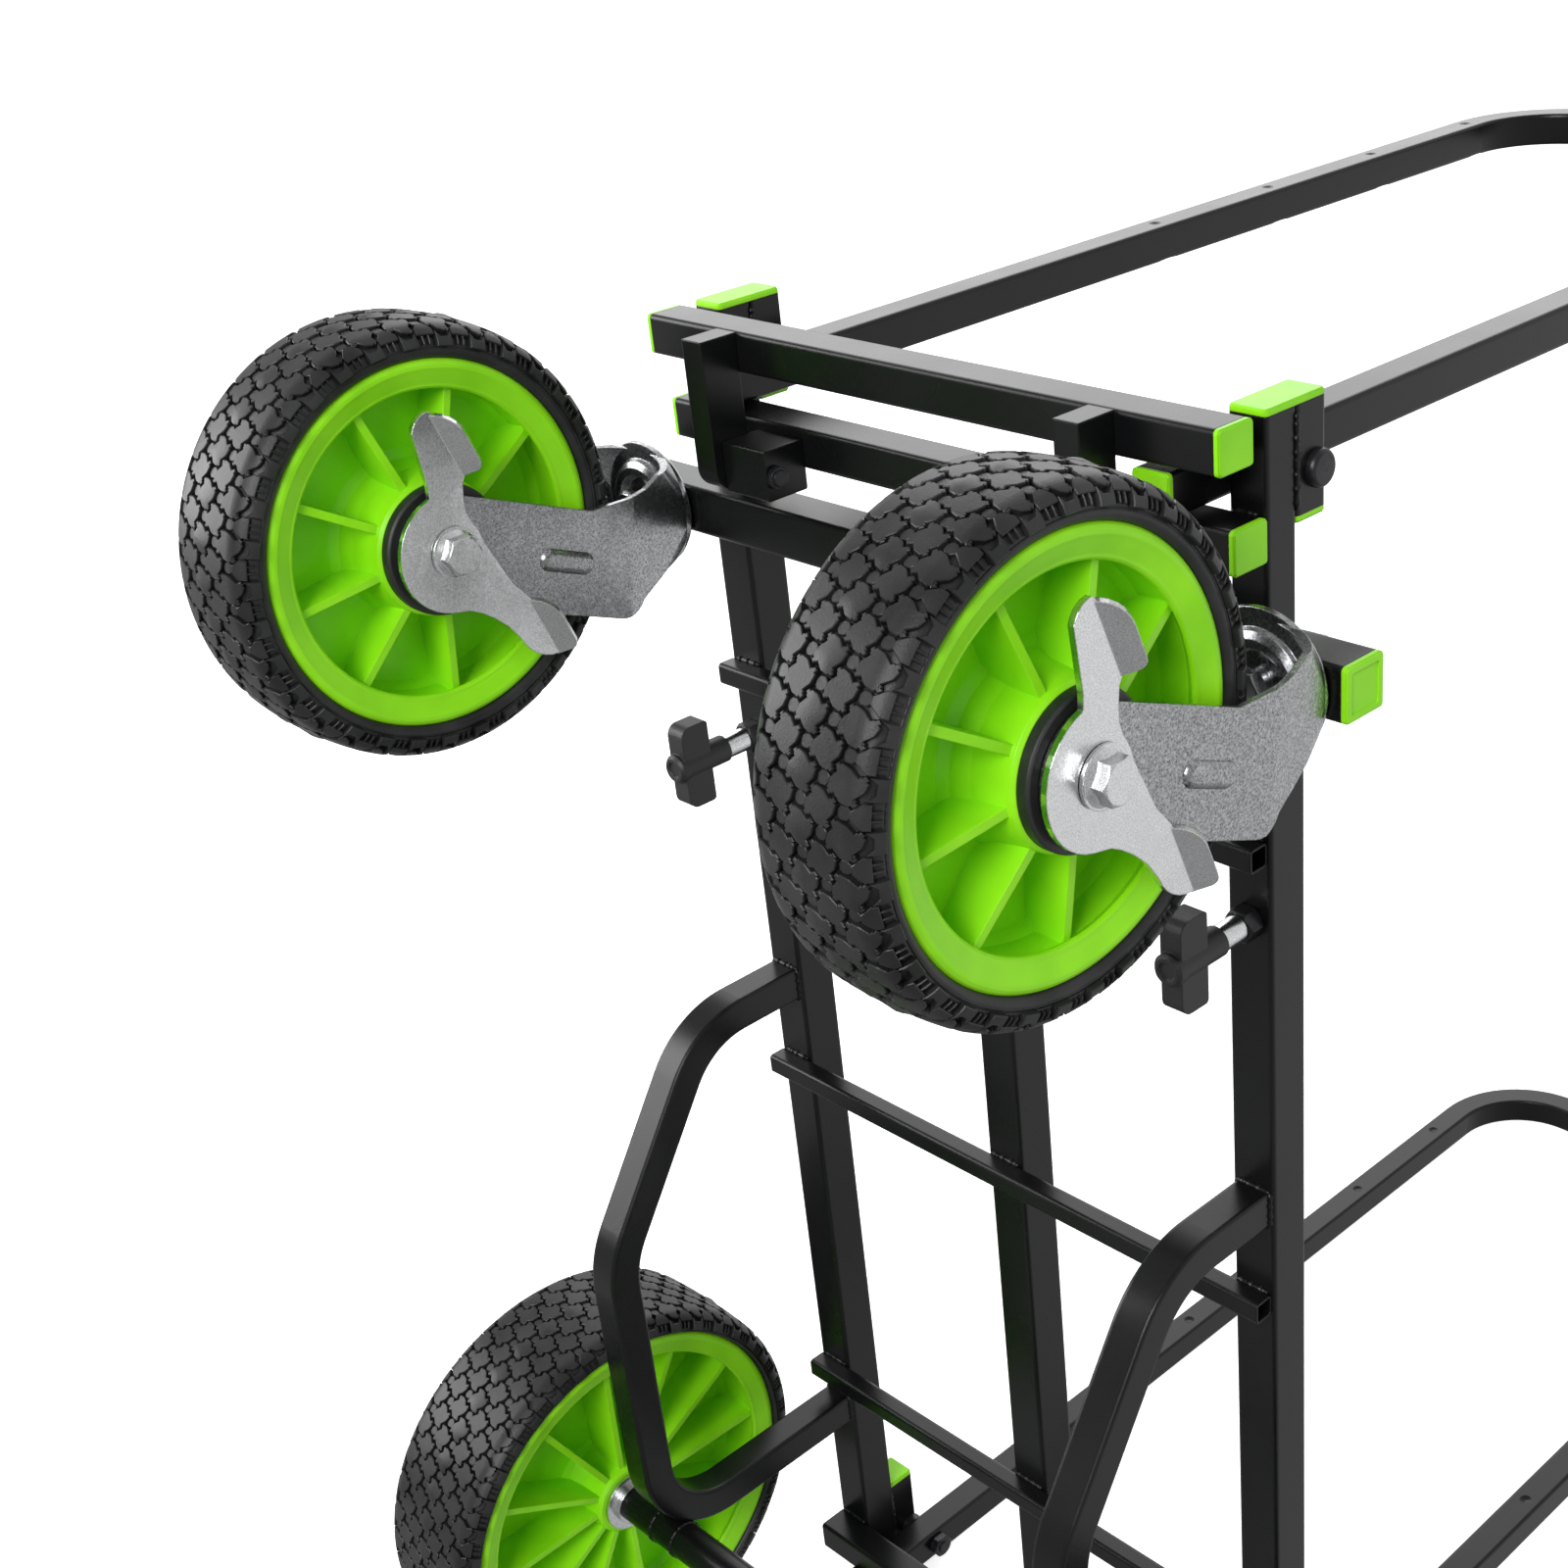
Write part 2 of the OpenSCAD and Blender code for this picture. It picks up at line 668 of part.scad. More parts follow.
module latch_blocks() {
    on_floor(black) both_sides() difference() {
        translate([arm_face - seat - block_len, block_y + block_size / 2, block_z + block_size / 2])
            along_x() linear_extrude(block_len) polygon(box_points(block_size, block_size, 1));
        translate([0, latch_pivot[0], latch_pivot[1]]) along_x() bore(latch_bolt_r + run, 4 * latch_w);
    }
}

module latch_bolts() {
    inner_x = arm_face - seat - block_len;
    outer_x = latch_w / 2 + seat;
    on_floor(black) both_sides() translate([0, latch_pivot[0], latch_pivot[1]]) along_x() {
        translate([0, 0, inner_x - 4]) cylinder(r = latch_bolt_r, h = outer_x - inner_x + 5, $fn = round_n);
        translate([0, 0, outer_x]) cylinder(r1 = 1.8 * latch_bolt_r, r2 = 1.3 * latch_bolt_r, h = 4,
            $fn = round_n);
        translate([0, 0, inner_x - 3]) cylinder(r = 1.4 * latch_bolt_r, h = 3, $fn = round_n);
    }
}

module latch_bar() {
    on_floor(black) lying_bar(bar_len, -latch_set - bar_depth, bar_depth, latch_z, bar_h);
}

module latch_caps() {
    on_floor(lime) lying_caps(bar_len, -latch_set - bar_depth, bar_depth, latch_z, bar_h);
}

// Each arm hangs from the front of the latch bar and ends in a round lug.
module latch_arms() {
    r = latch_arm_d / 2;
    top = latch_z + bar_h - latch_pivot[1];
    back = -latch_set - bar_depth - latch_pivot[0];
    on_floor(black) both_sides() translate([arm_face, latch_pivot[0], latch_pivot[1]])
        along_x() difference() {
            linear_extrude(latch_arm_t)
                polygon(concat([[back, top], [back - 2 * r, top]],
                    arc(back - r, 0, r, 180, 360, 18)));
            bore(latch_bolt_r + run, 4 * latch_arm_t);
        }
}

// ---- Casters ----

module caster(side) {
    translate([side * caster_x, 0, caster_z]) children();
}

module caster_wheel(side) {
    caster(side) translate([0, -caster_reach, caster_trail]) children();
}

module swivel_races() {
    on_floor(zinc) for (side = [-1, 1]) caster(side)
        translate([0, caster_bar_y, 0]) along_y() difference() {
            rotate_extrude($fn = round_n)
                polygon([[0, 0], [race_r - 5, 0], [race_r - 1, 1], [race_r, 2.4], [race_r, race_t], [0, race_t]]);
            bore(bolt_r + run, 40);
        }
}

module swivel_bolts() {
    front = crown_y - sheet_t - swivel_head_in - 2 * seat;
    back = caster_bar_y + caster_bar_size;
    end = back + washer_t + swivel_nut_h + thread_over;
    on_floor(zinc) for (side = [-1, 1]) caster(side) {
        translate([0, end, 0]) along_y() cylinder(r = bolt_r, h = end - front, $fn = round_n);
        translate([0, front, 0]) along_y() hexagon(1.65 * bolt_r, swivel_nut_h);
        translate([0, back + washer_t, 0]) along_y() cylinder(r = 1.6 * bolt_r, h = washer_t, $fn = round_n);
        translate([0, end - thread_over, 0]) along_y() hexagon(1.6 * bolt_r, swivel_nut_h);
    }
}

// The fork is one pressed sheet: flat slanting legs that draw in to a round
// crown over the swivel race, with a raised ring in it and a bead in each leg.
module fork(side) {
    length = caster_reach + crown_y;
    half = fork_w / 2;
    tilt = atan2(caster_trail, 0.44 * length);
    low = -1.02 * caster_w;
    outline = concat(
        arc(0, 0, leg_r, 90 - tilt, 270 - tilt, 16),
        arc(0.65 * length, low + 14, 14, 270 - tilt, 325, 6),
        [[0.8 * length, -caster_trail - 0.9 * race_r], [0.86 * length, -caster_trail - 0.76 * race_r],
         [0.98 * length, -caster_trail - 0.62 * race_r],
         [0.98 * length, 0.9 * race_r - caster_trail], [0.87 * length, 0.85 * race_r - caster_trail],
         [0.8 * length, 0.72 * race_r - caster_trail], [0.71 * length, 0.68 * race_r - caster_trail],
         [0.56 * length, 0.7 * race_r - caster_trail]]);
    on_floor(zinc) caster_wheel(side) difference() {
        union() {
            intersection() {
                difference() {
                    fork_form(half, length, crown_r);
                    fork_form(half - sheet_t, length - sheet_t, crown_r - sheet_t);
                }
                translate([-half - 1, 0, 0]) along_x() linear_extrude(2 * half + 2) polygon(outline);
            }
            translate([0, length, -caster_trail]) along_y() rotate_extrude($fn = round_n)
                polygon([[0, 0], [crown_r, 0], [crown_r, sheet_t], [24, sheet_t], [23, sheet_t + 2],
                    [20, sheet_t + 4], [16, sheet_t + 4], [14, sheet_t], [0, sheet_t]]);
        }
        translate([0, length, -caster_trail]) along_y() bore(bolt_r + run, 60);
        along_x() bore(bolt_r + run, 4 * half);
        for (x = [-half, half])
            translate([x, 0.43 * length, -0.95 * caster_trail]) rotate([-tilt, 0, 0]) bead(30, 9);
    }
}

// The closed form that the fork's sheet follows: legs that end along a slanted
// line, then a blend to the crown.
module fork_form(half, length, r) {
    back = 0.6 * caster_reach;
    low = -3 * leg_r;
    ends = [[back - 10, low], [back + 10, leg_r]];
    translate([-half, 0, 0]) along_x() linear_extrude(2 * half)
        polygon(concat([[-1.5 * leg_r, low]], ends, [[-1.5 * leg_r, leg_r]]));
    hull() {
        translate([-half, 0, 0]) along_x() linear_extrude(2 * half)
            polygon([ends[0], ends[1], ends[1] - [1, 0], ends[0] - [1, 0]]);
        translate([0, length, -caster_trail]) along_y() cylinder(r = r, h = 0.5, $fn = 48);
    }
}

// A round-ended pocket, a millimetre deep on each face that it crosses.
module bead(length, width) {
    along_x() translate([0, 0, -1]) linear_extrude(2)
        polygon(concat(arc((length - width) / 2, 0, width / 2, -90, 90, 8),
            arc((width - length) / 2, 0, width / 2, 90, 270, 8)));
}

module wheel_bolt(side) {
    half = fork_w / 2;
    head = half + seat + sheet_t + seat;
    on_floor(zinc) caster_wheel(side) along_x() {
        translate([0, 0, -half - nut_h - 1])
            cylinder(r = bolt_r, h = half + head + nut_h + 2, $fn = round_n);
        translate([0, 0, head]) cylinder(r = washer_r, h = washer_t, $fn = round_n);
        translate([0, 0, head + washer_t]) cylinder(r1 = 1.9 * bolt_r, r2 = 1.5 * bolt_r, h = 2, $fn = round_n);
        translate([0, 0, head + washer_t]) hexagon(1.65 * bolt_r, 1.3 * bolt_r);
        translate([0, 0, -half - nut_h]) hexagon(1.65 * bolt_r, nut_h);
        translate([0, 0, seat - half + sheet_t]) cylinder(r = 1.6 * bolt_r, h = disc_t, $fn = round_n);
    }
}

module brake_disc(side) {
    on_floor(black) caster_wheel(side)
        translate([caster_hub_half + seat, 0, 0]) along_x() difference() {
            rotate_extrude($fn = round_n)
                polygon([[0, 0], [disc_r, 0], [disc_r, disc_t - 1], [disc_r - 1, disc_t], [0, disc_t]]);
            bore(bolt_r + run, 40);
        }
}

// The rocker's sheet: round at the front and below the axle, cut in close to
// the bolt behind it, with one lobe up and one down under the fork's leg.
module pedal_sheet() {
    r = lobe_w / 2;
    tip = lower_fold + fold_line;
    tip_r = 0.93 * lobe_w;
    linear_extrude(sheet_t) polygon(concat(
        pedal_r * [[1.15, -1.05], [0.98, -0.85], [0.85, -0.58], [0.72, -0.3], [0.6, -0.05],
            [0.52, 0.2], [0.4, 0.42]],
        [[r - 1, 0.6 * pedal_r], [r - 1, pedal_r - 6], [r, pedal_r + 2], upper_fold + fold_line, upper_fold],
        arc(0, upper_fold[1] - r + 1, r, 95, 165, 5),
        [[3.4 - r, pedal_r + 5]], arc(0, 0, pedal_r, 106, 258, 16),
        pedal_r * [[0.1, -1.04], [0.3, -1.15], [0.52, -1.31], [0.76, -1.54]],
        arc(tip[0] - 1.5, tip[1] + tip_r, tip_r, 200, 270, 6), [tip, lower_fold]));
}

// A tread is folded out of the sheet along the fold line and widens downwards.
module tread() {
    r = 1.35 * tread_w;
    rotate([0, 0, fold_slant]) rotate([0, -tread_fold, 0]) linear_extrude(sheet_t)
        polygon(concat([[0, 0]], arc(tread_w - r, -r, r, 74, 0, 6),
            arc(tread_w - 4, 4 - tread_len, 4, 0, -90, 4), [[0, -tread_len]]));
}

module pedal(side) {
    on_floor(zinc) caster_wheel(side)
        translate([fork_w / 2 + seat, 0, 0]) along_x() difference() {
            union() {
                pedal_sheet();
                translate(upper_fold) tread();
                translate(lower_fold) tread();
            }
            bore(bolt_r + run, 60);
        }
}

// ---- Clamp knobs ----

// A moulded tee: a stem round the screw, a deep cross handle and a front boss.
module knob_head(side) {
    half = knob_len / 2;
    front = knob_stem + knob_deep;
    on_floor(black) translate([side * rail_x, -knob_gap, knob_z]) along_y() difference() {
        union() {
            cylinder(r = 0.63 * knob_t, h = front, $fn = round_n);
            translate([-knob_t / 2, 0, 0]) rotate([90, 0, 90]) linear_extrude(knob_t)
                polygon(concat(arc(half - 2, knob_stem + 2, 2, -90, 0, 3),
                    arc(half - 6, front - 6, 6, 0, 90, 6), arc(6 - half, front - 6, 6, 90, 180, 6),
                    arc(2 - half, knob_stem + 2, 2, 180, 270, 3)));
            rotate_extrude($fn = round_n)
                polygon([[0, front], [0.67 * knob_t, front - 3], [0.67 * knob_t, front + 2],
                    [0.55 * knob_t, front + 3.6], [0.38 * knob_t, front + 3.6],
                    [0.34 * knob_t, front + 2.6], [0, front + 2.6]]);
        }
        bore(screw_r, 36);
    }
}

module knob_screw(side) {
    tip = inner_y - seat;
    on_floor(zinc) translate([side * rail_x, tip, knob_z]) along_y() {
        cylinder(r = screw_r, h = 42 + tip - seat, $fn = round_n);
        translate([0, 0, tip + 9 + seat]) cylinder(r = 6.5, h = 15 - 2 * seat, $fn = round_n);
    }
}

outer_rail(-1);  // outer_rail_l
outer_rail(1);  // outer_rail_r
centre_rail();
rung(rung_low_z);  // rung_low
rung(rung_mid_z);  // rung_mid
rung(rung_top_z);  // rung_top
toe_bar();
axle_bracket(-1);  // axle_bracket_l
axle_bracket(1);  // axle_bracket_r
axle_tube();
axle_rod();
axle_fasteners();
foot_caps();
pivot_stub(-1, rail_size, 1 + cap_t, toe_pivot);  // toe_bracket_l
pivot_stub(1, rail_size, 1 + cap_t, toe_pivot);  // toe_bracket_r
toe_bolts();
knob_nuts();
rear_rim(-1);  // rear_rim_l
rear_rim(1);  // rear_rim_r
rear_tyre(-1);  // rear_tyre_l
rear_tyre(1);  // rear_tyre_r
toe_loop();
toe_loop_caps();
inner_rail(-1);  // inner_rail_l
inner_rail(1);  // inner_rail_r
cross_bar();
caster_bar();
cross_bar_caps();
caster_bar_caps();
pivot_bracket(-1);  // pivot_bracket_l
pivot_bracket(1);  // pivot_bracket_r
top_caps();
bracket_caps();
pivot_bolts();
load_loop();
load_loop_caps();
latch_blocks();
latch_bolts();
swivel_races();
swivel_bolts();
latch_bar();
latch_arms();
latch_caps();
fork(-1);  // fork_l
fork(1);  // fork_r
wheel_bolt(-1);  // wheel_bolt_l
wheel_bolt(1);  // wheel_bolt_r
brake_disc(-1);  // brake_disc_l
brake_disc(1);  // brake_disc_r
caster_rim(-1);  // caster_rim_l
caster_rim(1);  // caster_rim_r
caster_tyre(-1);  // caster_tyre_l
caster_tyre(1);  // caster_tyre_r
pedal(-1);  // pedal_l
pedal(1);  // pedal_r
knob_head(-1);  // knob_head_l
knob_head(1);  // knob_head_r
knob_screw(-1);  // knob_screw_l
knob_screw(1);  // knob_screw_r
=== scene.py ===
import json
import math

import bmesh
import bpy
import numpy as np
from mathutils import Matrix, Vector


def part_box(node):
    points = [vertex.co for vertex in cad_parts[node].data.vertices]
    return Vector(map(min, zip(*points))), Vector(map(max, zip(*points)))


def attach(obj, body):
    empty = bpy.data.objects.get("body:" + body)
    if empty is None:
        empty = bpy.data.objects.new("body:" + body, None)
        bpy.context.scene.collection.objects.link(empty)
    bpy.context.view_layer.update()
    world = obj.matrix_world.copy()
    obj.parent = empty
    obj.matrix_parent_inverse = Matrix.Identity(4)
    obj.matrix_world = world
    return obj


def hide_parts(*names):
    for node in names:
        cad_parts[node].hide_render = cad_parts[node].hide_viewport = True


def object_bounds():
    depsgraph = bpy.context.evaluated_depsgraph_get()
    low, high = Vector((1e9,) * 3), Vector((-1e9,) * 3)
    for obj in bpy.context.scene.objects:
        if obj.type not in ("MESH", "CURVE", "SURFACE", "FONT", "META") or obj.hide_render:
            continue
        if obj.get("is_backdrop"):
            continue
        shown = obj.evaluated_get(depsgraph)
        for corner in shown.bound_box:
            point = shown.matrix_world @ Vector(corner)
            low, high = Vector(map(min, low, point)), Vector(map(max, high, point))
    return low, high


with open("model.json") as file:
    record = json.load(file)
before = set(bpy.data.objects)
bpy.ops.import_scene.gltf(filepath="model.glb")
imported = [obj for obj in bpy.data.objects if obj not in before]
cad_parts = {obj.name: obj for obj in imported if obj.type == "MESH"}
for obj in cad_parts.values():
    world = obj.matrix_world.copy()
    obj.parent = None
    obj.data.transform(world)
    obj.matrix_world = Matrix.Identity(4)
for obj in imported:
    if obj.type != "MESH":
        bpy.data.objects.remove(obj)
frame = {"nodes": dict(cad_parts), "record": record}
cadLow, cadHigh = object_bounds()
nodes = frame["nodes"]
mm = 0.001
print("frame loaded:", len(nodes), "nodes")


def srgb(hexCode):
    # One sRGB hex value to Blender's linear colour.
    channels = [int(hexCode[i:i + 2], 16) / 255 for i in (1, 3, 5)]
    return tuple(c / 12.92 if c <= 0.04045 else ((c + 0.055) / 1.055) ** 2.4 for c in channels) + (1.0,)


def addNode(tree, kind, settings=None, **links):
    # Adds one node, sets its properties and inputs, and links sockets by input name.
    node = tree.nodes.new(kind)
    for key, value in (settings or {}).items():
        if isinstance(key, str) and hasattr(node, key):
            setattr(node, key, value)
        else:
            node.inputs[key].default_value = value
    for key, socket in links.items():
        tree.links.new(socket, node.inputs[key.replace("_", " ")])
    return node


def newMaterial(name):
    material = bpy.data.materials.new(name)
    material.use_nodes = True
    tree = material.node_tree
    tree.nodes.clear()
    return material, tree


def finishMaterial(tree, shader):
    output = addNode(tree, "ShaderNodeOutputMaterial")
    tree.links.new(shader.outputs[0], output.inputs["Surface"])


def objectPoint(tree):
    # Object coordinates are in metres, because no CAD object is moved or scaled.
    return addNode(tree, "ShaderNodeTexCoord").outputs["Object"]


def tint(tree, factor, low, high, spread=(0.3, 0.7)):
    # Noise mostly stays between 0.3 and 0.7, so the two colours lie there.
    ramp = addNode(tree, "ShaderNodeValToRGB", Fac=factor)
    ramp.color_ramp.elements[0].position, ramp.color_ramp.elements[1].position = spread
    ramp.color_ramp.elements[0].color = srgb(low)
    ramp.color_ramp.elements[1].color = srgb(high)
    return ramp.outputs["Color"]


def perMetre(millimetres):
    # Scale of a texture with features of this size.
    return 1000 / millimetres


def noise(tree, millimetres, detail, point):
    settings = {"Scale": perMetre(millimetres), "Detail": detail}
    return addNode(tree, "ShaderNodeTexNoise", settings, Vector=point).outputs["Fac"]


def wornEdge(tree, radiusMm):
    # Rounds the look of every sharp edge.
    return addNode(tree, "ShaderNodeBevel", {"samples": 6, "Radius": radiusMm * mm}).outputs["Normal"]


def relief(tree, height, strength, depth, under=None):
    # Bump from a height, over the normal below it.
    settings = {"Strength": strength, "Distance": depth * mm}
    links = {"Height": height} if under is None else {"Height": height, "Normal": under}
    return addNode(tree, "ShaderNodeBump", settings, **links).outputs["Normal"]


def unevenRoughness(tree, factor, level, less, more):
    span = {"To Min": level - less, "To Max": level + more}
    return addNode(tree, "ShaderNodeMapRange", span, Value=factor).outputs["Result"]


def powderCoatedSteel():
    # Satin black polyester powder: a faint orange peel breaks up wide reflections.
    coat = {"dark": "#09090a", "light": "#101012", "rough": 0.27, "patchMm": 60,
            "peelMm": 1.6, "peelStrength": 0.12, "peelDepth": 0.2, "edgeMm": 1.2}
    material, tree = newMaterial("powderCoatedSteel")
    point = objectPoint(tree)
    patches = noise(tree, coat["patchMm"], 3.0, point)
    peel = noise(tree, coat["peelMm"], 2.0, point)
    normal = relief(tree, peel, coat["peelStrength"], coat["peelDepth"], wornEdge(tree, coat["edgeMm"]))
    shader = addNode(tree, "ShaderNodeBsdfPrincipled", {"IOR": 1.5, "Specular IOR Level": 0.3},
                     Base_Color=tint(tree, patches, coat["dark"], coat["light"]),
                     Roughness=unevenRoughness(tree, patches, coat["rough"], 0.05, 0.06), Normal=normal)
    finishMaterial(tree, shader)
    return material


def mouldedPolypropylene():
    # Lime polypropylene straight from the mould: even colour, soft gloss, a little light let through.
    plastic = {"dark": "#84d610", "light": "#97e81c", "rough": 0.34, "flowMm": 35,
               "grainMm": 0.7, "grainStrength": 0.06, "grainDepth": 0.1, "edgeMm": 0.8}
    material, tree = newMaterial("mouldedPolypropylene")
    point = objectPoint(tree)
    flow = noise(tree, plastic["flowMm"], 2.0, point)
    grain = noise(tree, plastic["grainMm"], 2.0, point)
    edge = wornEdge(tree, plastic["edgeMm"])
    normal = relief(tree, grain, plastic["grainStrength"], plastic["grainDepth"], edge)
    shader = addNode(tree, "ShaderNodeBsdfPrincipled",
                     {"IOR": 1.49, "Specular IOR Level": 0.28,
                      "Subsurface Weight": 0.08, "Subsurface Radius": (0.002, 0.004, 0.001)},
                     Base_Color=tint(tree, flow, plastic["dark"], plastic["light"]),
                     Roughness=unevenRoughness(tree, flow, plastic["rough"], 0.04, 0.06), Normal=normal)
    finishMaterial(tree, shader)
    return material


def mouldedRubber():
    # Foamed rubber with carbon black: dull, with a greyish bloom in patches and a fine mould texture.
    tyreMix = {"dark": "#161617", "light": "#2c2c2d", "rough": 0.4, "bloomMm": 25,
               "grainMm": 0.9, "grainStrength": 0.35, "grainDepth": 0.3}
    material, tree = newMaterial("mouldedRubber")
    point = objectPoint(tree)
    bloom = noise(tree, tyreMix["bloomMm"], 4.0, point)
    grain = noise(tree, tyreMix["grainMm"], 3.0, point)
    normal = relief(tree, grain, tyreMix["grainStrength"], tyreMix["grainDepth"])
    shader = addNode(tree, "ShaderNodeBsdfPrincipled", {"IOR": 1.52, "Specular IOR Level": 0.32},
                     Base_Color=tint(tree, bloom, tyreMix["dark"], tyreMix["light"]),
                     Roughness=unevenRoughness(tree, bloom, tyreMix["rough"], 0.08, 0.1), Normal=normal)
    finishMaterial(tree, shader)
    return material


def zincPlatedSteel(name, zinc):
    # Zinc over rolled sheet: fine crystalline mottling and a soft, uneven shine.
    sheet = {"smearMm": 18, "waveDepth": 2.0, "spangleDepth": 0.1, "edgeMm": 0.7}
    material, tree = newMaterial(name)
    point = objectPoint(tree)
    cells = {"Scale": perMetre(zinc["spangleMm"]), "Randomness": 1.0}
    crystals = addNode(tree, "ShaderNodeTexVoronoi", cells, Vector=point)
    spangle = noise(tree, zinc["spangleMm"] / 2, 4.0, point)
    mottle = addNode(tree, "ShaderNodeMath", {"operation": "MULTIPLY_ADD", 1: zinc["mottle"]})
    tree.links.new(crystals.outputs["Distance"], mottle.inputs[0])
    tree.links.new(spangle, mottle.inputs[2])
    smear = noise(tree, sheet["smearMm"], 2.0, point)
    wave = relief(tree, smear, zinc["wave"], sheet["waveDepth"], wornEdge(tree, sheet["edgeMm"]))
    normal = relief(tree, spangle, zinc["relief"], sheet["spangleDepth"], wave)
    colour = tint(tree, mottle.outputs["Value"], zinc["dark"], zinc["light"], zinc["spread"])
    shader = addNode(tree, "ShaderNodeBsdfPrincipled", {"Metallic": 1.0}, Base_Color=colour,
                     Roughness=unevenRoughness(tree, smear, zinc["rough"], 0.06, 0.08), Normal=normal)
    finishMaterial(tree, shader)
    return material


# Two copies of one zinc: the pedals, bolts and screws get a lighter one, a painted sheen for the softbox
# light they catch; the forks get a darker one, painted shade, with heavier mottling.
zincPaintedSheen = {"dark": "#bcbdbe", "light": "#ecedee", "rough": 0.22, "spangleMm": 1.2, "mottle": 0.1,
              "spread": (0.3, 0.8), "relief": 0.08, "wave": 0.2}
mottledZincPaintedShade = {"dark": "#606163", "light": "#bbbcbe", "rough": 0.27, "spangleMm": 1.5, "mottle": 0.3,
            "spread": (0.4, 0.85), "relief": 0.15, "wave": 0.25}


def grainedNylon():
    # Glass-filled nylon with a spark-eroded grain, almost matt.
    nylon = {"dark": "#151516", "light": "#1f1f20", "rough": 0.5,
             "grainMm": 0.6, "grainStrength": 0.2, "grainDepth": 0.2, "edgeMm": 1.0}
    material, tree = newMaterial("grainedNylon")
    grain = noise(tree, nylon["grainMm"], 2.0, objectPoint(tree))
    normal = relief(tree, grain, nylon["grainStrength"], nylon["grainDepth"], wornEdge(tree, nylon["edgeMm"]))
    shader = addNode(tree, "ShaderNodeBsdfPrincipled", {"IOR": 1.53, "Roughness": nylon["rough"]},
                     Base_Color=tint(tree, grain, nylon["dark"], nylon["light"]), Normal=normal)
    finishMaterial(tree, shader)
    return material


def blackOxideSteel():
    # Oiled black oxide on turned steel: dark metal with a low sheen.
    oxide = {"dark": "#17171a", "light": "#2b2b2e", "rough": 0.33, "oilMm": 5, "edgeMm": 0.6}
    material, tree = newMaterial("blackOxideSteel")
    oil = noise(tree, oxide["oilMm"], 3.0, objectPoint(tree))
    shader = addNode(tree, "ShaderNodeBsdfPrincipled", {"Metallic": 0.4, "Roughness": oxide["rough"]},
                     Base_Color=tint(tree, oil, oxide["dark"], oxide["light"]),
                     Normal=wornEdge(tree, oxide["edgeMm"]))
    finishMaterial(tree, shader)
    return material


finishes = {
    "black_coat": powderCoatedSteel(),
    "lime_plastic": mouldedPolypropylene(),
    # The lighter copy of the zinc: a painted sheen.
    "zinc_plate": zincPlatedSteel("zincPlatePaintedSheen", zincPaintedSheen),
    "tyre_rubber": mouldedRubber(),
    "black_plastic": grainedNylon(),
    "black_bolt": blackOxideSteel(),
}
slotOf = {part["node"]: part["material_slot"] for part in frame["record"]["subparts"]}
for name, node in nodes.items():
    node.data.materials.clear()
    node.data.materials.append(finishes[slotOf[name]])
# The forks' darker copy of the zinc: painted shade, with heavier mottling.
forkFinish = zincPlatedSteel("mottledZincPlatePaintedShade", mottledZincPaintedShade)
for name in ("fork_l", "fork_r"):
    nodes[name].data.materials[0] = forkFinish
print("materials made:", len(finishes) + 1)


def addPiece(name, mesh, material, sharpFrom=None):
    # Puts a smooth-shaded piece in the scene; edges sharper than the given angle stay sharp.
    mesh.polygons.foreach_set("use_smooth", np.ones(len(mesh.polygons), bool))
    if sharpFrom is not None:
        mesh.set_sharp_from_angle(angle=sharpFrom)
    mesh.materials.append(material)
    piece = bpy.data.objects.new(name, mesh)
    bpy.context.scene.collection.objects.link(piece)
    return piece


treadPattern = {
    "pitch": 20.0,      # length of one diamond along the tyre's round, mm
    "row": 10.0,        # distance between the rows across, mm
    "depth": 3.0,       # height of the blocks over the carcass, mm
    "ridge": 0.9,       # further rise of the centre row's ridges, mm
    "groove": 1.2,      # width of the zigzag grooves, mm
    "key": 1.1,         # how far the blocks' keys reach into each other, mm
    "keyFrom": 4.3,     # a key's two ends along its edge of the diamond, mm
    "keyTo": 6.2,
    "corner": 3.4,      # cut at the diamonds' corners, mm
    "cornerStep": 0.3,  # what the slot's side of a corner is cut further, mm
    "chamfer": 0.32,    # worn edge of every block, mm
    "lugHalf": 4.4,     # half width of a shoulder lug, mm
    "lugDrop": 9.0,     # how far down the side the lugs reach, mm
    "crown": 1.0,       # drop from the middle of the tread to the shoulder, mm
    "shoulder": 9.5,    # radius of the shoulder, mm
    "ridgeFull": 1.4,   # over 1, the ridges keep their full height round the middle of a block
    "ridgeFall": 7.0,   # length over which they fall off, mm
    "foot": 0.5,        # how deep the blocks stand in the carcass, mm
    "bend": 4.0,        # place of a block's two bends along the round, mm
    "cutFrom": 0.7,     # first bend of a lug past the last row, mm
    "cut": 1.3,         # distance between its bends over the shoulder, mm
    "sharpFrom": math.radians(32),      # edges sharper than this stay sharp
}
sideWall = {
    "points": (12, 16, 10),     # over half the tread, round the shoulder and down the wall
    "turn": math.radians(84),   # how far the shoulder's arc goes round
    "lean": 1.4,                # how much narrower the wall is at the rim, mm
    "bulge": 0.6,               # how far the wall swells halfway, mm
    "seat": [(0.7, 3.0), (1.5, 9.0)],    # the bead's seat: steps in from the rim and from the side, mm
    "flashOut": 1.1,            # place of the mould's seam past the lugs' ends, mm
    "flashHeight": 0.35,
    "flashHalf": 0.3,           # what lies nearer than this to its middle is its top, mm
    "flashSteps": [-0.5, -0.15, 0.15, 0.5],     # its foot and its top, on both sides
}
shoulderParts = {
    "lugTip": 2.0,          # half width of a lug's narrow tip, mm
    "lugGap": 1.1,          # its gap to the next blocks, in grooves
    "wedgeFrom": 2.6,       # start of the wedge past the last row, mm
    "wedgeTip": 1.6,        # half width of its tip, mm
    "wedgeEnd": 1.5,        # how far it ends before the next row, mm
    "tickHalf": 0.45,       # the two short ticks on each panel, mm
    "tickPlace": 1.7,
    "tickSpan": (4.4, 0.8),
}
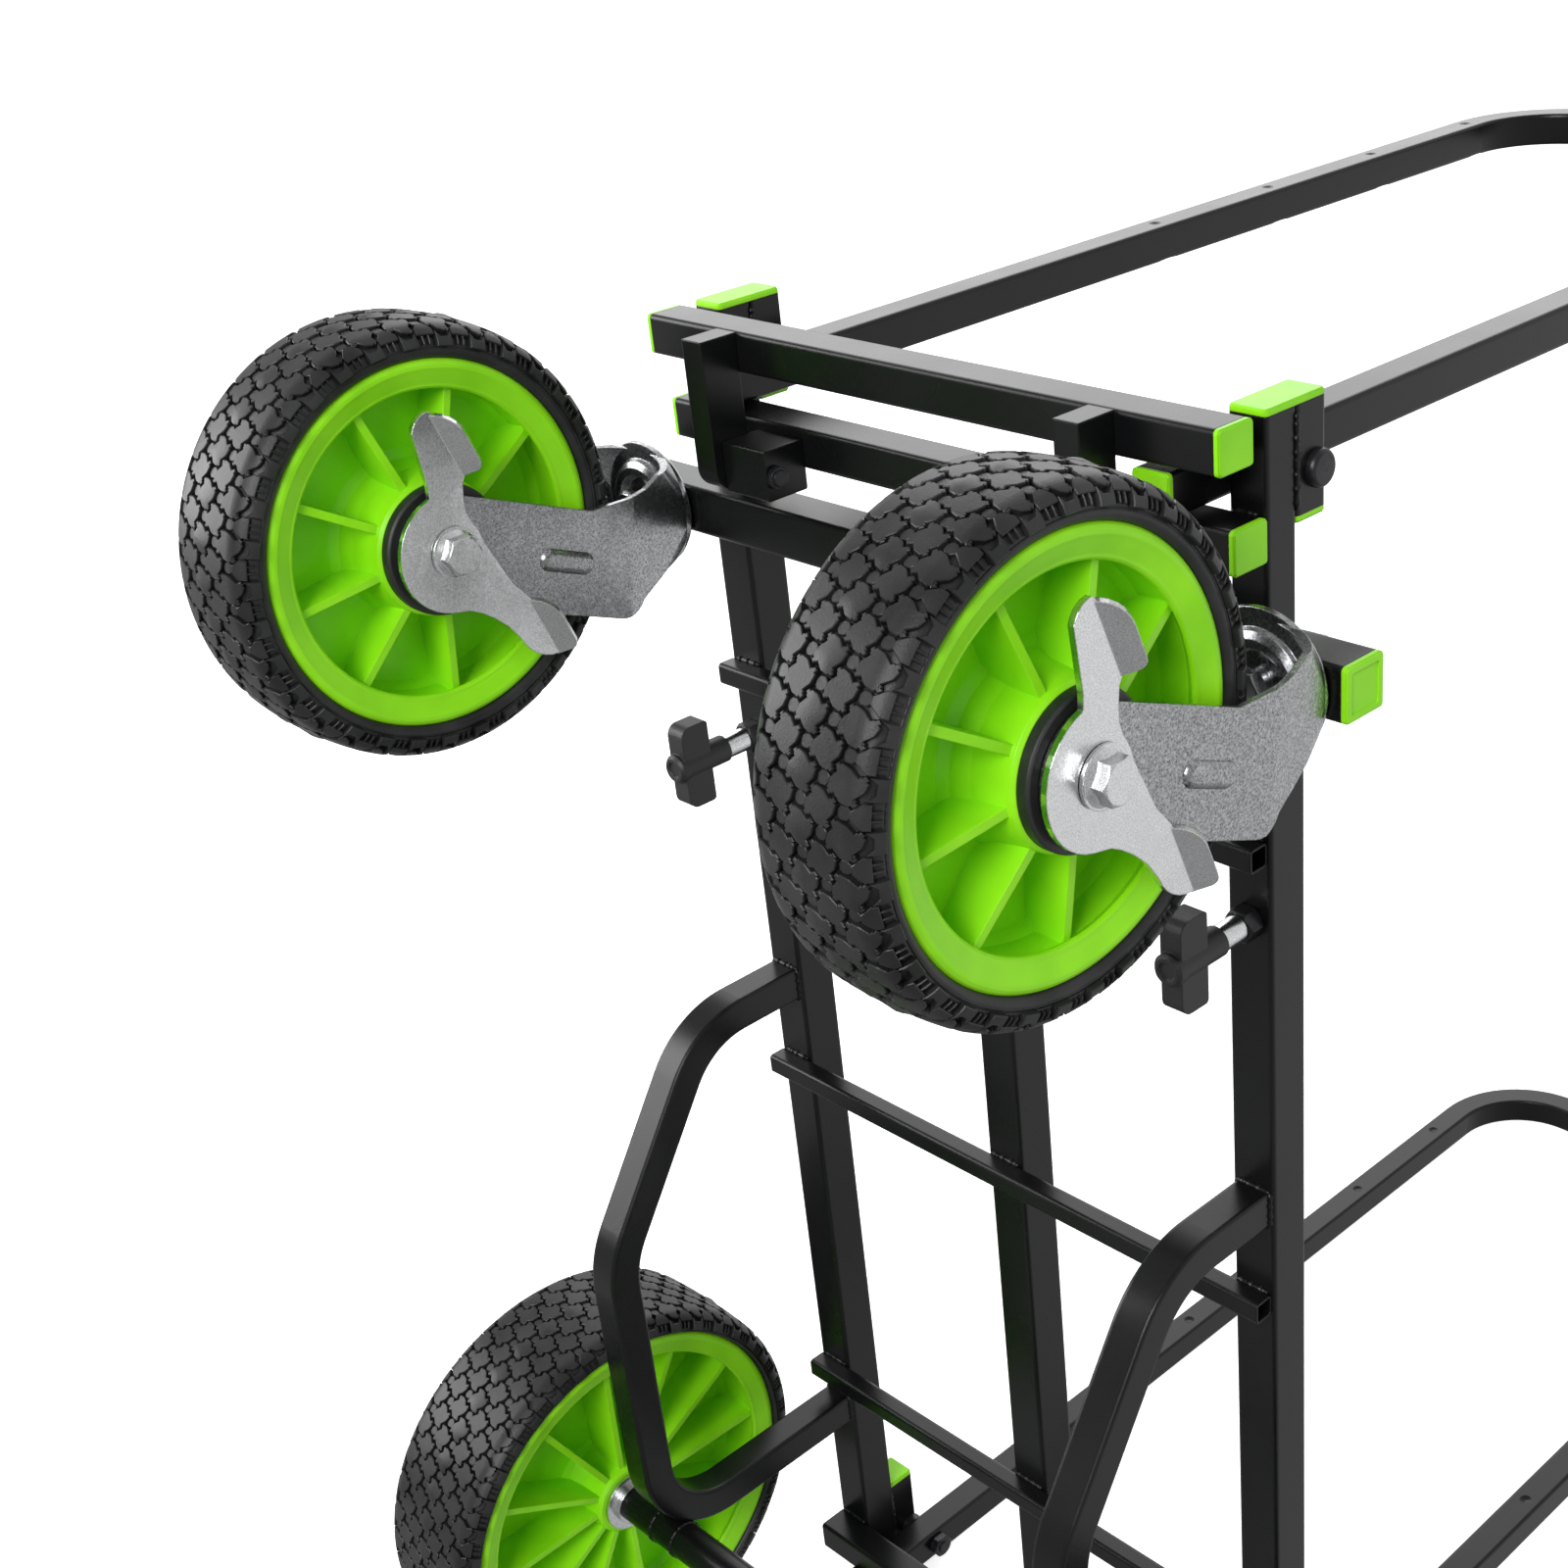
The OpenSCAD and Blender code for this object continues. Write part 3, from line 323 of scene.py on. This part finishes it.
# How high each kind of piece stands, as a share of the depth.
raised = {"block": 1.0, "stud": 0.62, "lug": 1.05, "wedge": 1.0, "panel": 0.2, "tick": 0.8}


def carcassProfile(radius, width, rimRadius):
    # The smooth tyre's half section, middle to bead: radius and axial place, with the length along it.
    shoulder = treadPattern["shoulder"]
    flat = width / 2 - shoulder
    overTread, roundShoulder, downWall = sideWall["points"]
    points = [(radius - treadPattern["crown"] * (x / flat) ** 2, x) for x in np.linspace(0, flat, overTread)]
    top = points[-1][0]
    slope = math.atan(2 * treadPattern["crown"] / flat)
    stretch = 1 / (math.sin(sideWall["turn"]) - math.sin(slope))
    for a in np.linspace(slope, sideWall["turn"], roundShoulder)[1:]:
        points.append((top - shoulder * (math.cos(slope) - math.cos(a)),
                       flat + shoulder * (math.sin(a) - math.sin(slope)) * stretch))
    edge = points[-1]
    for t in np.linspace(1 / downWall, 1, downWall):
        wall = edge[0] + (rimRadius - edge[0]) * t
        swell = sideWall["bulge"] * math.sin(math.pi * t)
        points.append((wall, width / 2 - sideWall["lean"] * t ** 2 + swell))
    points += [(rimRadius - down, width / 2 - across) for down, across in sideWall["seat"]]
    points = np.array(points)
    steps = np.hypot(*np.diff(points, axis=0).T)
    return points, np.concatenate([[0], np.cumsum(steps)])


def blockOutline(u, v):
    # A diamond with cut corners; each edge carries a key near one end and a slot near the other.
    t = treadPattern
    corners = [(t["pitch"] / 2, 0), (0, t["row"]), (-t["pitch"] / 2, 0), (0, -t["row"])]
    length = math.hypot(t["pitch"] / 2, t["row"])
    inset = -t["groove"] / 2
    along = [(t["corner"], inset), (t["keyFrom"], inset), (t["keyFrom"], inset + t["key"]),
             (t["keyTo"], inset + t["key"]), (t["keyTo"], inset),
             (length - t["keyTo"] - t["groove"], inset),
             (length - t["keyTo"] - t["groove"], inset - t["key"]),
             (length - t["corner"] - t["cornerStep"], inset - t["key"])]
    points = []
    for (x0, y0), (x1, y1) in zip(corners, corners[1:] + corners[:1]):
        dx, dy = (x1 - x0) / length, (y1 - y0) / length
        points += [(u + x0 + dx * s + dy * n, v + y0 + dy * s - dx * n) for s, n in along]
    return points


def studOutline(u, v):
    # The low stud that fills the crossing between four blocks.
    r = (treadPattern["corner"] + treadPattern["cornerStep"]) / math.sqrt(2)
    b = 0.45 * r    # half of each of the eight sides, about
    return [(u + r, v - b), (u + r, v + b), (u + b, v + r), (u - b, v + r),
            (u - r, v + b), (u - r, v - b), (u - b, v - r), (u + b, v - r)]


def box2d(u0, u1, v0, v1):
    return [(u0, v0), (u1, v0), (u1, v1), (u0, v1)]


def pitchOutlines(rows, lugEnd):
    # Every raised piece of one pitch: outline and height as a share of the depth.
    t = treadPattern
    half = t["pitch"] / 2
    pieces = []
    for row in range(-rows, rows + 1):
        u, v = (half if row % 2 else 0), row * t["row"]
        pieces.append((blockOutline(u, v), raised["block"]))
        pieces.append((studOutline(u + half, v), raised["stud"]))
    last = rows * t["row"]
    u = half if rows % 2 else 0
    lug = t["lugHalf"]
    g = t["groove"]
    p = shoulderParts
    tip = last + t["row"]
    lugTop = tip + p["lugGap"] * g
    lugShape = [(u - lug, lugTop - lug), (u - p["lugTip"], lugTop - p["lugTip"]),
                (u + p["lugTip"], lugTop - p["lugTip"]), (u + lug, lugTop - lug),
                (u + lug, lugEnd), (u - lug, lugEnd)]
    w = half - lug - g / 2
    start = last + p["wedgeFrom"]
    end = tip - p["wedgeEnd"]
    between = u + half
    wedge = [(between - p["wedgeTip"], start), (between + p["wedgeTip"], start),
             (between + w, start + w - p["wedgeTip"]), (between + w, end),
             (between - w, end), (between - w, start + w - p["wedgeTip"])]
    panel = box2d(between - w, between + w, end, lugEnd)
    shoulderPieces = [(lugShape, raised["lug"]), (wedge, raised["wedge"]), (panel, raised["panel"])]
    tickFrom, tickTo = (lugEnd - place for place in p["tickSpan"])
    for x in (between - p["tickPlace"], between + p["tickPlace"]):
        tick = box2d(x - p["tickHalf"], x + p["tickHalf"], tickFrom, tickTo)
        shoulderPieces.append((tick, raised["tick"]))
    for side in (-1, 1):
        pieces += [([(x, side * y) for x, y in outline], height) for outline, height in shoulderPieces]
    return pieces


def raisedPiece(outline, cutsU, cutsV):
    # One block as a closed solid over the flat pattern: foot at level 0, top at level 1, worn rim between.
    rimLevel = 0.88
    work = bmesh.new()
    work.faces.new([work.verts.new((x, y, 0)) for x, y in outline])
    for axis, cuts in (((1, 0, 0), cutsU), ((0, 1, 0), cutsV)):
        for place in cuts:
            bmesh.ops.bisect_plane(work, geom=work.verts[:] + work.edges[:] + work.faces[:], dist=0.01,
                                   plane_co=[place * n for n in axis], plane_no=axis)
    made = bmesh.ops.extrude_face_region(work, geom=work.faces[:], use_keep_orig=True)["geom"]
    top = [item for item in made if isinstance(item, bmesh.types.BMFace)]
    rim = [item for item in made if isinstance(item, bmesh.types.BMVert)]
    for vert in rim:
        vert.co.z = rimLevel
    bmesh.ops.inset_region(work, faces=top, thickness=treadPattern["chamfer"], use_even_offset=True)
    for vert in {vert for face in top for vert in face.verts}:
        vert.co.z = 1.0
    bmesh.ops.recalc_face_normals(work, faces=work.faces[:])
    work.verts.index_update()
    points = np.array([vert.co[:] for vert in work.verts])
    faces = [[vert.index for vert in face.verts] for face in work.faces]
    work.free()
    return points, faces


def latheFaces(rounds, columns):
    # The carcass's faces, all facing inward; its open inner side is closed across the rim's seat.
    faces = []
    for i in range(rounds):
        here = i * columns
        there = (i + 1) % rounds * columns
        faces += [(here + j, here + j + 1, there + j + 1, there + j) for j in range(columns - 1)]
        faces.append((here + columns - 1, here, there, there + columns - 1))
    return faces


def makeTyre(name, body, replaced, radius, width, rimRadius, centre):
    # A smooth carcass with the raised pieces of one pitch repeated round it.
    t = treadPattern
    rise = t["depth"] + t["ridge"]
    half, arc = carcassProfile(radius - rise, width - 2 * t["depth"], rimRadius)
    pitches = round(2 * math.pi * radius / t["pitch"])
    lugEnd = np.interp(-(radius - rise - t["lugDrop"]), -half[:, 0], arc)
    flash = lugEnd + sideWall["flashOut"] + np.array(sideWall["flashSteps"])
    stations = np.unique(np.concatenate([arc, flash]))
    onFlash = np.abs(stations - lugEnd - sideWall["flashOut"]) < sideWall["flashHalf"]
    bump = np.where(onFlash, sideWall["flashHeight"], 0.0)

    slopeStep = 0.3    # mm along the section, on each side of a point, for the direction of its height

    def place(turn, v, h):
        # Share of a turn, length across from the middle and height over the carcass to a point in space.
        side = np.abs(v)
        r = np.interp(side, arc, half[:, 0])
        x = np.interp(side, arc, half[:, 1])
        near, far = side - slopeStep, side + slopeStep
        dr = np.interp(far, arc, half[:, 0]) - np.interp(near, arc, half[:, 0])
        dx = np.interp(far, arc, half[:, 1]) - np.interp(np.abs(near), arc, half[:, 1]) * np.sign(near + 1e-9)
        size = np.hypot(dr, dx)
        r = r + h * dx / size
        x = (x - h * dr / size) * np.sign(v + 1e-12)
        return np.stack([x, r * np.cos(2 * math.pi * turn), r * np.sin(2 * math.pi * turn)], axis=-1) * mm

    roundsPerPitch = 5
    rounds = pitches * roundsPerPitch
    across = np.concatenate([-stations[::-1], stations[1:]])
    lift = np.concatenate([bump[::-1], bump[1:]])
    turn = np.repeat(np.arange(rounds) / rounds, len(across))
    points = [place(turn, np.tile(across, rounds), np.tile(lift, rounds))]
    faces = latheFaces(rounds, len(across))
    total = rounds * len(across)
    rows = int((width / 2 - t["shoulder"]) // t["row"])
    bends = np.arange(rows * t["row"] + t["cutFrom"], lugEnd, t["cut"])
    cutsV = [side * v for side in (-1, 1) for v in bends]
    foot = -t["foot"]
    for outline, share in pitchOutlines(rows, lugEnd):
        u = (min(x for x, y in outline) + max(x for x, y in outline)) / 2
        v = (min(y for x, y in outline) + max(y for x, y in outline)) / 2
        middleBlock = abs(v) < 0.1 and share == raised["block"]
        flat, pieceFaces = raisedPiece(outline, (u - t["bend"], u, u + t["bend"]), cutsV + [v])
        height = foot + (share * t["depth"] - foot) * flat[:, 2]
        if middleBlock:
            # Its top rises to a ridge along the round, which falls off towards the block's two points.
            onTop = (flat[:, 2] > 0.99) & (np.abs(flat[:, 1]) < 0.05)
            fall = np.clip(t["ridgeFull"] - np.abs(flat[:, 0] - u) / t["ridgeFall"], 0, 1)
            height += np.where(onTop, t["ridge"], 0) * fall
        for pitch in range(pitches):
            spot = (flat[:, 0] / t["pitch"] + pitch) / pitches
            points.append(place(spot, flat[:, 1], height))
            faces += [tuple(total + index for index in face) for face in pieceFaces]
            total += len(flat)
    points = np.concatenate(points) + np.array(centre)
    mesh = bpy.data.meshes.new(name)
    mesh.from_pydata(points.tolist(), [], faces)
    tyre = addPiece(name, mesh, finishes["tyre_rubber"], t["sharpFrom"])
    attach(tyre, body)
    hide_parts(replaced)
    print("tyre made:", name, len(faces), "faces")


def middle(node):
    low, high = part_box(node)
    return (low + high) / 2


def halfSize(node):
    low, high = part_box(node)
    return (high - low) / 2


for side in "lr":
    for kind in ("rear", "caster"):
        node = kind + "_tyre_" + side
        size = halfSize(node) / mm
        rimSize = halfSize(kind + "_rim_" + side) / mm
        makeTyre("treadedTyre." + kind + "." + side, kind + "_wheel_" + side, node,
                 size.y, 2 * size.x, rimSize.y, middle(node))


forkBoss = {
    "length": 33.0,             # mm, as all down to beside
    "width": 11.5,
    "height": 2.4,
    "sunk": 0.1,                # how far the rim lies in the leg
    "foot": 0.8,                # how far the shell's back lies in the leg
    "place": (63.1, -25.2),     # its middle, from the wheel's centre along Y and Z
    "readAt": 12.0,             # where the leg's face is read, along the boss from its middle
    "beside": 1.0,              # and that far beside it
    "turn": math.radians(-22.3),
    "steepness": 1.6,           # over 1, the top is flat and the sides steeper
    "tipHalf": 0.05,            # half width at the very ends, mm
    "grid": (34, 14),
    "sharpFrom": math.radians(50),
}


def makeForkBoss(name, body, fork, wheel, outward):
    # The oblong boss pressed out of the fork's leg: a closed shell over the leg's own pressing.
    hub = middle(wheel)
    centre = hub + Vector((0, forkBoss["place"][0], forkBoss["place"][1])) * mm
    reachY, reachZ = math.cos(forkBoss["turn"]), math.sin(forkBoss["turn"])
    outside = 0.3    # m from the wheel, a place clear of the fork to look back from

    def spot(along, across):
        # Y and Z of a place that is given from the boss's middle.
        return (centre.y + (along * reachY - across * reachZ) * mm,
                centre.z + (along * reachZ + across * reachY) * mm)

    def legFace(along, across):
        start = Vector((hub.x + outward * outside, *spot(along, across)))
        return nodes[fork].ray_cast(start, Vector((-outward, 0, 0)))[1].x

    # The leg's face is read beside the pressing, at both ends, and taken as straight between them.
    halfWidth = forkBoss["width"] / 2
    beside = halfWidth + forkBoss["beside"]
    readAt = forkBoss["readAt"]
    ends = [(legFace(a, beside) + legFace(a, -beside)) / 2 for a in (-readAt, readAt)]
    spine = forkBoss["length"] / 2 - halfWidth
    columns, rows = forkBoss["grid"]
    shell = bmesh.new()
    layers = []
    for level in (1, 0):
        grid = {}
        for i in range(columns + 1):
            a = (2 * i / columns - 1) * (spine + halfWidth)
            reach = math.sqrt(max(0.0, halfWidth ** 2 - max(0, abs(a) - spine) ** 2))
            for j in range(rows + 1):
                b = (2 * j / rows - 1) * max(reach, forkBoss["tipHalf"])
                edge = math.hypot(max(0, abs(a) - spine), b) / halfWidth
                dome = forkBoss["height"] * min(1, forkBoss["steepness"] * (1 - edge ** 2)) - forkBoss["sunk"]
                rise = dome if level else -forkBoss["foot"]
                face = ends[0] + (ends[1] - ends[0]) * (a + readAt) / (2 * readAt)
                grid[i, j] = shell.verts.new((face + outward * rise * mm, *spot(a, b)))
        for i in range(columns):
            for j in range(rows):
                shell.faces.new([grid[i, j], grid[i + 1, j], grid[i + 1, j + 1], grid[i, j + 1]])
        layers.append(grid)
    rim = ([(i, 0) for i in range(columns)] + [(columns, j) for j in range(rows)] +
           [(i, rows) for i in range(columns, 0, -1)] + [(0, j) for j in range(rows, 0, -1)])
    for here, there in zip(rim, rim[1:] + rim[:1]):
        shell.faces.new([layers[0][here], layers[0][there], layers[1][there], layers[1][here]])
    bmesh.ops.recalc_face_normals(shell, faces=shell.faces[:])
    mesh = bpy.data.meshes.new(name)
    shell.to_mesh(mesh)
    shell.free()
    boss = addPiece(name, mesh, forkFinish, forkBoss["sharpFrom"])
    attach(boss, body)


for side, outward in (("l", -1), ("r", 1)):
    for leg, way in (("outer", outward), ("inner", -outward)):
        makeForkBoss("forkBoss." + side + "." + leg, "caster_fork_" + side, "fork_" + side,
                     "caster_rim_" + side, way)
print("fork bosses made")


weld = {
    "radius": 2.0,      # mm
    "ripple": 3.1,      # distance between two ripples, mm
    "wander": 1.7,      # a slower swell over them, mm
    "wanderStart": 40,  # shifts the swell by the run's height, so that no two look alike
    "dip": 0.2,         # how far the radius falls between ripples, as a share
    "blunt": 0.15,      # what the ends of a run keep of its section, as a share
    "step": 0.75,       # distance between the rings of the mesh, mm
    "fewestRings": 6,
    "sides": 8,
    "barEnds": 2.0,     # free length at the ends of a run across a rail, mm
    "bracketEnds": 3.0,     # the same down a bracket
    "axleRuns": 10,     # straight runs in the round weld on the axle tube
}


def weldRun(start, end):
    # One straight run of weld: a rippled bead with round ends, half sunk in the corner that it fills.
    run = end - start
    length = run.length / mm
    side = run.orthogonal().normalized()
    up = run.cross(side).normalized()
    rings = max(weld["fewestRings"], round(length / weld["step"]))
    points = []
    for i in range(rings + 1):
        along = length * i / rings
        swell = math.sin(along / weld["wander"] + weld["wanderStart"] * start.z) ** 2
        ripple = abs(math.sin(math.pi * along / weld["ripple"])) + swell
        size = weld["radius"] * (1 - weld["dip"] * ripple)
        size *= math.sqrt(min(1, weld["blunt"] + min(along, length - along) / weld["radius"]))
        for k in range(weld["sides"]):
            turn = 2 * math.pi * k / weld["sides"]
            points.append(start + run * i / rings + size * mm * (math.cos(turn) * side + math.sin(turn) * up))
    n = weld["sides"]
    faces = [(i * n + k, i * n + (k + 1) % n, (i + 1) * n + (k + 1) % n, (i + 1) * n + k)
             for i in range(rings) for k in range(n)]
    faces += [tuple(reversed(range(n))), tuple(rings * n + k for k in range(n))]
    return points, faces


def makeWelds(name, body, runs):
    points, faces = [], []
    for start, end in runs:
        runPoints, runFaces = weldRun(Vector(start), Vector(end))
        faces += [tuple(len(points) + index for index in face) for face in runFaces]
        points += runPoints
    mesh = bpy.data.meshes.new(name)
    mesh.from_pydata([tuple(point) for point in points], [], faces)
    beads = addPiece(name, mesh, finishes["black_coat"])
    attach(beads, body)
    print("welds made:", name, len(runs))


def acrossRail(bar, rail, edges):
    # Runs along a bar's bottom edge (0) and top edge (1), where it lies on a rail's front face.
    barLow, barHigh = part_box(bar)
    railLow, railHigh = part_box(rail)
    left = max(barLow.x, railLow.x) + weld["barEnds"] * mm
    right = min(barHigh.x, railHigh.x) - weld["barEnds"] * mm
    heights = [(barLow.z, barHigh.z)[edge] for edge in edges]
    return [((left, railLow.y, z), (right, railLow.y, z)) for z in heights]


def roundTubeEnd(node, z0, z1):
    # Four runs round a square tube's end on the rails' front faces.
    low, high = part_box(node)
    y = high.y
    corners = [(low.x, y, z0), (high.x, y, z0), (high.x, y, z1), (low.x, y, z1)]
    return list(zip(corners, corners[1:] + corners[:1]))


def downSides(node, y):
    # Two upright runs where a bracket's sides meet the rail behind it.
    low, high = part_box(node)
    free = weld["bracketEnds"] * mm
    return [((x, y, low.z + free), (x, y, high.z - free)) for x in (low.x, high.x)]


def roundAxle(x):
    # A ring of short runs round the axle tube, where it goes through a bracket's side.
    count = weld["axleRuns"]
    low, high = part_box("axle_tube")
    y, z, r = (low.y + high.y) / 2, (low.z + high.z) / 2, (high.z - low.z) / 2
    ring = [(x, y + r * math.cos(2 * math.pi * i / count), z + r * math.sin(2 * math.pi * i / count))
            for i in range(count)]
    return list(zip(ring, ring[1:] + ring[:1]))


lowerWelds, upperWelds = [], []
for bar in ("rung_low", "rung_mid", "rung_top", "toe_bar"):
    for rail in ("outer_rail_l", "centre_rail", "outer_rail_r"):
        lowerWelds += acrossRail(bar, rail, (0, 1))
for side in "lr":
    low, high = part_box("axle_bracket_" + side)
    width = high.x - low.x
    lowerWelds += roundTubeEnd("axle_bracket_" + side, low.z, low.z + width)
    lowerWelds += roundTubeEnd("axle_bracket_" + side, high.z - width, high.z)
    lowerWelds += roundAxle(low.x) + roundAxle(high.x)
    lowerWelds += downSides("toe_bracket_" + side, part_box("outer_rail_" + side)[1].y)
    upperWelds += acrossRail("caster_bar", "inner_rail_" + side, (1,))
    upperWelds += acrossRail("cross_bar", "inner_rail_" + side, (0, 1))
    upperWelds += downSides("pivot_bracket_" + side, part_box("inner_rail_" + side)[1].y)
makeWelds("weldBeads.lowerFrame", "lower_frame", lowerWelds)
makeWelds("weldBeads.upperFrame", "upper_frame", upperWelds)


studio = {
    "floorSize": 60,        # m
    "floorGap": 0.0005,     # the floor's drop below the wheels, m
    "wallRadius": 28,
    "glow": 0.74,           # light given off by the floor and the wall
    "world": 1.0,           # light from all round, graded from floor to ceiling
    "walls": {0.12: "#b8b8b8", 0.3: "#f6f6f6", 1.0: "#d8d8d8"},     # 0 is straight down, 1 straight up
    "ends": ["#b2b2b2", "#ffffff"],     # the dark end in front of the object and the bright one behind it
    "endsFade": (-0.8, 0.6),            # between these two, along Y, one end fades into the other
    "aim": Vector((0, 0, 0.45)),        # the middle of the object, where the lights point
    "lights": {
        "backSoftbox": {"at": (-2.3, 2.6, 2.6), "size": 2.8, "watts": 45},
        "leftSoftbox": {"at": (-2.6, -1.8, 1.6), "size": 1.8, "watts": 75},
        "frontSoftbox": {"at": (1.2, -3.2, 2.6), "size": 1.8, "watts": 115},
    },
}


def makeFloor():
    # A white sweep lit from below, as on a light table, and the white wall round it, far off.
    below = cadLow.z - studio["floorGap"]
    bpy.ops.mesh.primitive_plane_add(size=studio["floorSize"], location=(0, 0, below))
    floor = bpy.context.object
    floor.name = "studioFloor"
    bpy.ops.mesh.primitive_cylinder_add(vertices=96, radius=studio["wallRadius"], depth=studio["floorSize"],
                                        end_fill_type="NOTHING", location=(0, 0, 0))
    wall = bpy.context.object
    wall.name = "studioWall"
    material, tree = newMaterial("lightTable")
    shader = addNode(tree, "ShaderNodeBsdfPrincipled",
                     {"Base Color": srgb("#f4f4f4"), "Roughness": 0.9, "Specular IOR Level": 0.1,
                      "Emission Color": srgb("#ffffff"), "Emission Strength": studio["glow"]})
    finishMaterial(tree, shader)
    # Both stay out of the metal and light nothing, so the dark undersides stay dark.
    for backdrop in (floor, wall):
        backdrop.data.materials.append(material)
        backdrop.visible_diffuse = False
        backdrop.visible_glossy = False
        backdrop.visible_shadow = False
        backdrop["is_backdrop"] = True


def makeLights():
    for name, light in studio["lights"].items():
        data = bpy.data.lights.new(name, "AREA")
        data.size = light["size"]
        data.energy = light["watts"]
        lamp = bpy.data.objects.new(name, data)
        bpy.context.scene.collection.objects.link(lamp)
        lamp.location = light["at"]
        aim = studio["aim"] - lamp.location
        lamp.rotation_euler = aim.to_track_quat("-Z", "Y").to_euler()


def makeWorld():
    world = bpy.data.worlds.new("paleStudio")
    bpy.context.scene.world = world
    world.use_nodes = True
    tree = world.node_tree
    sky = tree.nodes["Background"]
    sky.inputs["Strength"].default_value = studio["world"]
    around = addNode(tree, "ShaderNodeTexCoord").outputs["Generated"]
    ahead = addNode(tree, "ShaderNodeSeparateXYZ", Vector=around)
    upDown = {"From Min": -1.0, "From Max": 1.0}
    height = addNode(tree, "ShaderNodeMapRange", upDown, Value=ahead.outputs["Z"])
    grade = addNode(tree, "ShaderNodeValToRGB", Fac=height.outputs["Result"])
    stops = grade.color_ramp.elements
    stops.new(0.5)    # the middle stop, moved to its place with the others
    for stop, (place, shade) in zip(stops, studio["walls"].items()):
        stop.position = place
        stop.color = srgb(shade)
    frontBack = {"From Min": studio["endsFade"][0], "From Max": studio["endsFade"][1]}
    back = addNode(tree, "ShaderNodeMapRange", frontBack, Value=ahead.outputs["Y"])
    mix = addNode(tree, "ShaderNodeMix", {"data_type": "RGBA", "blend_type": "MULTIPLY", "Factor": 1.0})
    # A colour mix has its colours at sockets 6 and 7 and its result at socket 2.
    tree.links.new(grade.outputs["Color"], mix.inputs[6])
    tree.links.new(tint(tree, back.outputs["Result"], *studio["ends"], (0, 1)), mix.inputs[7])
    tree.links.new(mix.outputs[2], sky.inputs["Color"])


def makeCamera():
    view = {"at": (0.7362, -0.9388, 1.1300), "azimuth": 47.21, "elevation": 28.03, "roll": -4.84,
            "lens": 52.21, "shift": (-0.1046, 0.0566), "clipEnd": 100}
    az = math.radians(view["azimuth"])
    el = math.radians(view["elevation"])
    roll = math.radians(view["roll"])
    ahead = Vector((-math.sin(az) * math.cos(el), math.cos(az) * math.cos(el), -math.sin(el)))
    right = Vector((math.cos(az), math.sin(az), 0))
    up = right.cross(ahead)
    right, up = math.cos(roll) * right + math.sin(roll) * up, math.cos(roll) * up - math.sin(roll) * right
    data = bpy.data.cameras.new("studioCamera")
    data.lens = view["lens"]
    data.shift_x, data.shift_y = view["shift"]
    data.clip_end = view["clipEnd"]
    camera = bpy.data.objects.new("studioCamera", data)
    bpy.context.scene.collection.objects.link(camera)
    turn = Matrix((right, up, -ahead)).transposed().to_4x4()
    camera.matrix_world = Matrix.Translation(view["at"]) @ turn
    bpy.context.scene.camera = camera


makeFloor()
makeLights()
makeWorld()
makeCamera()
bpy.context.scene.view_settings.view_transform = "Standard"  # keeps the floor white and the lime clear

low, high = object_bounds()
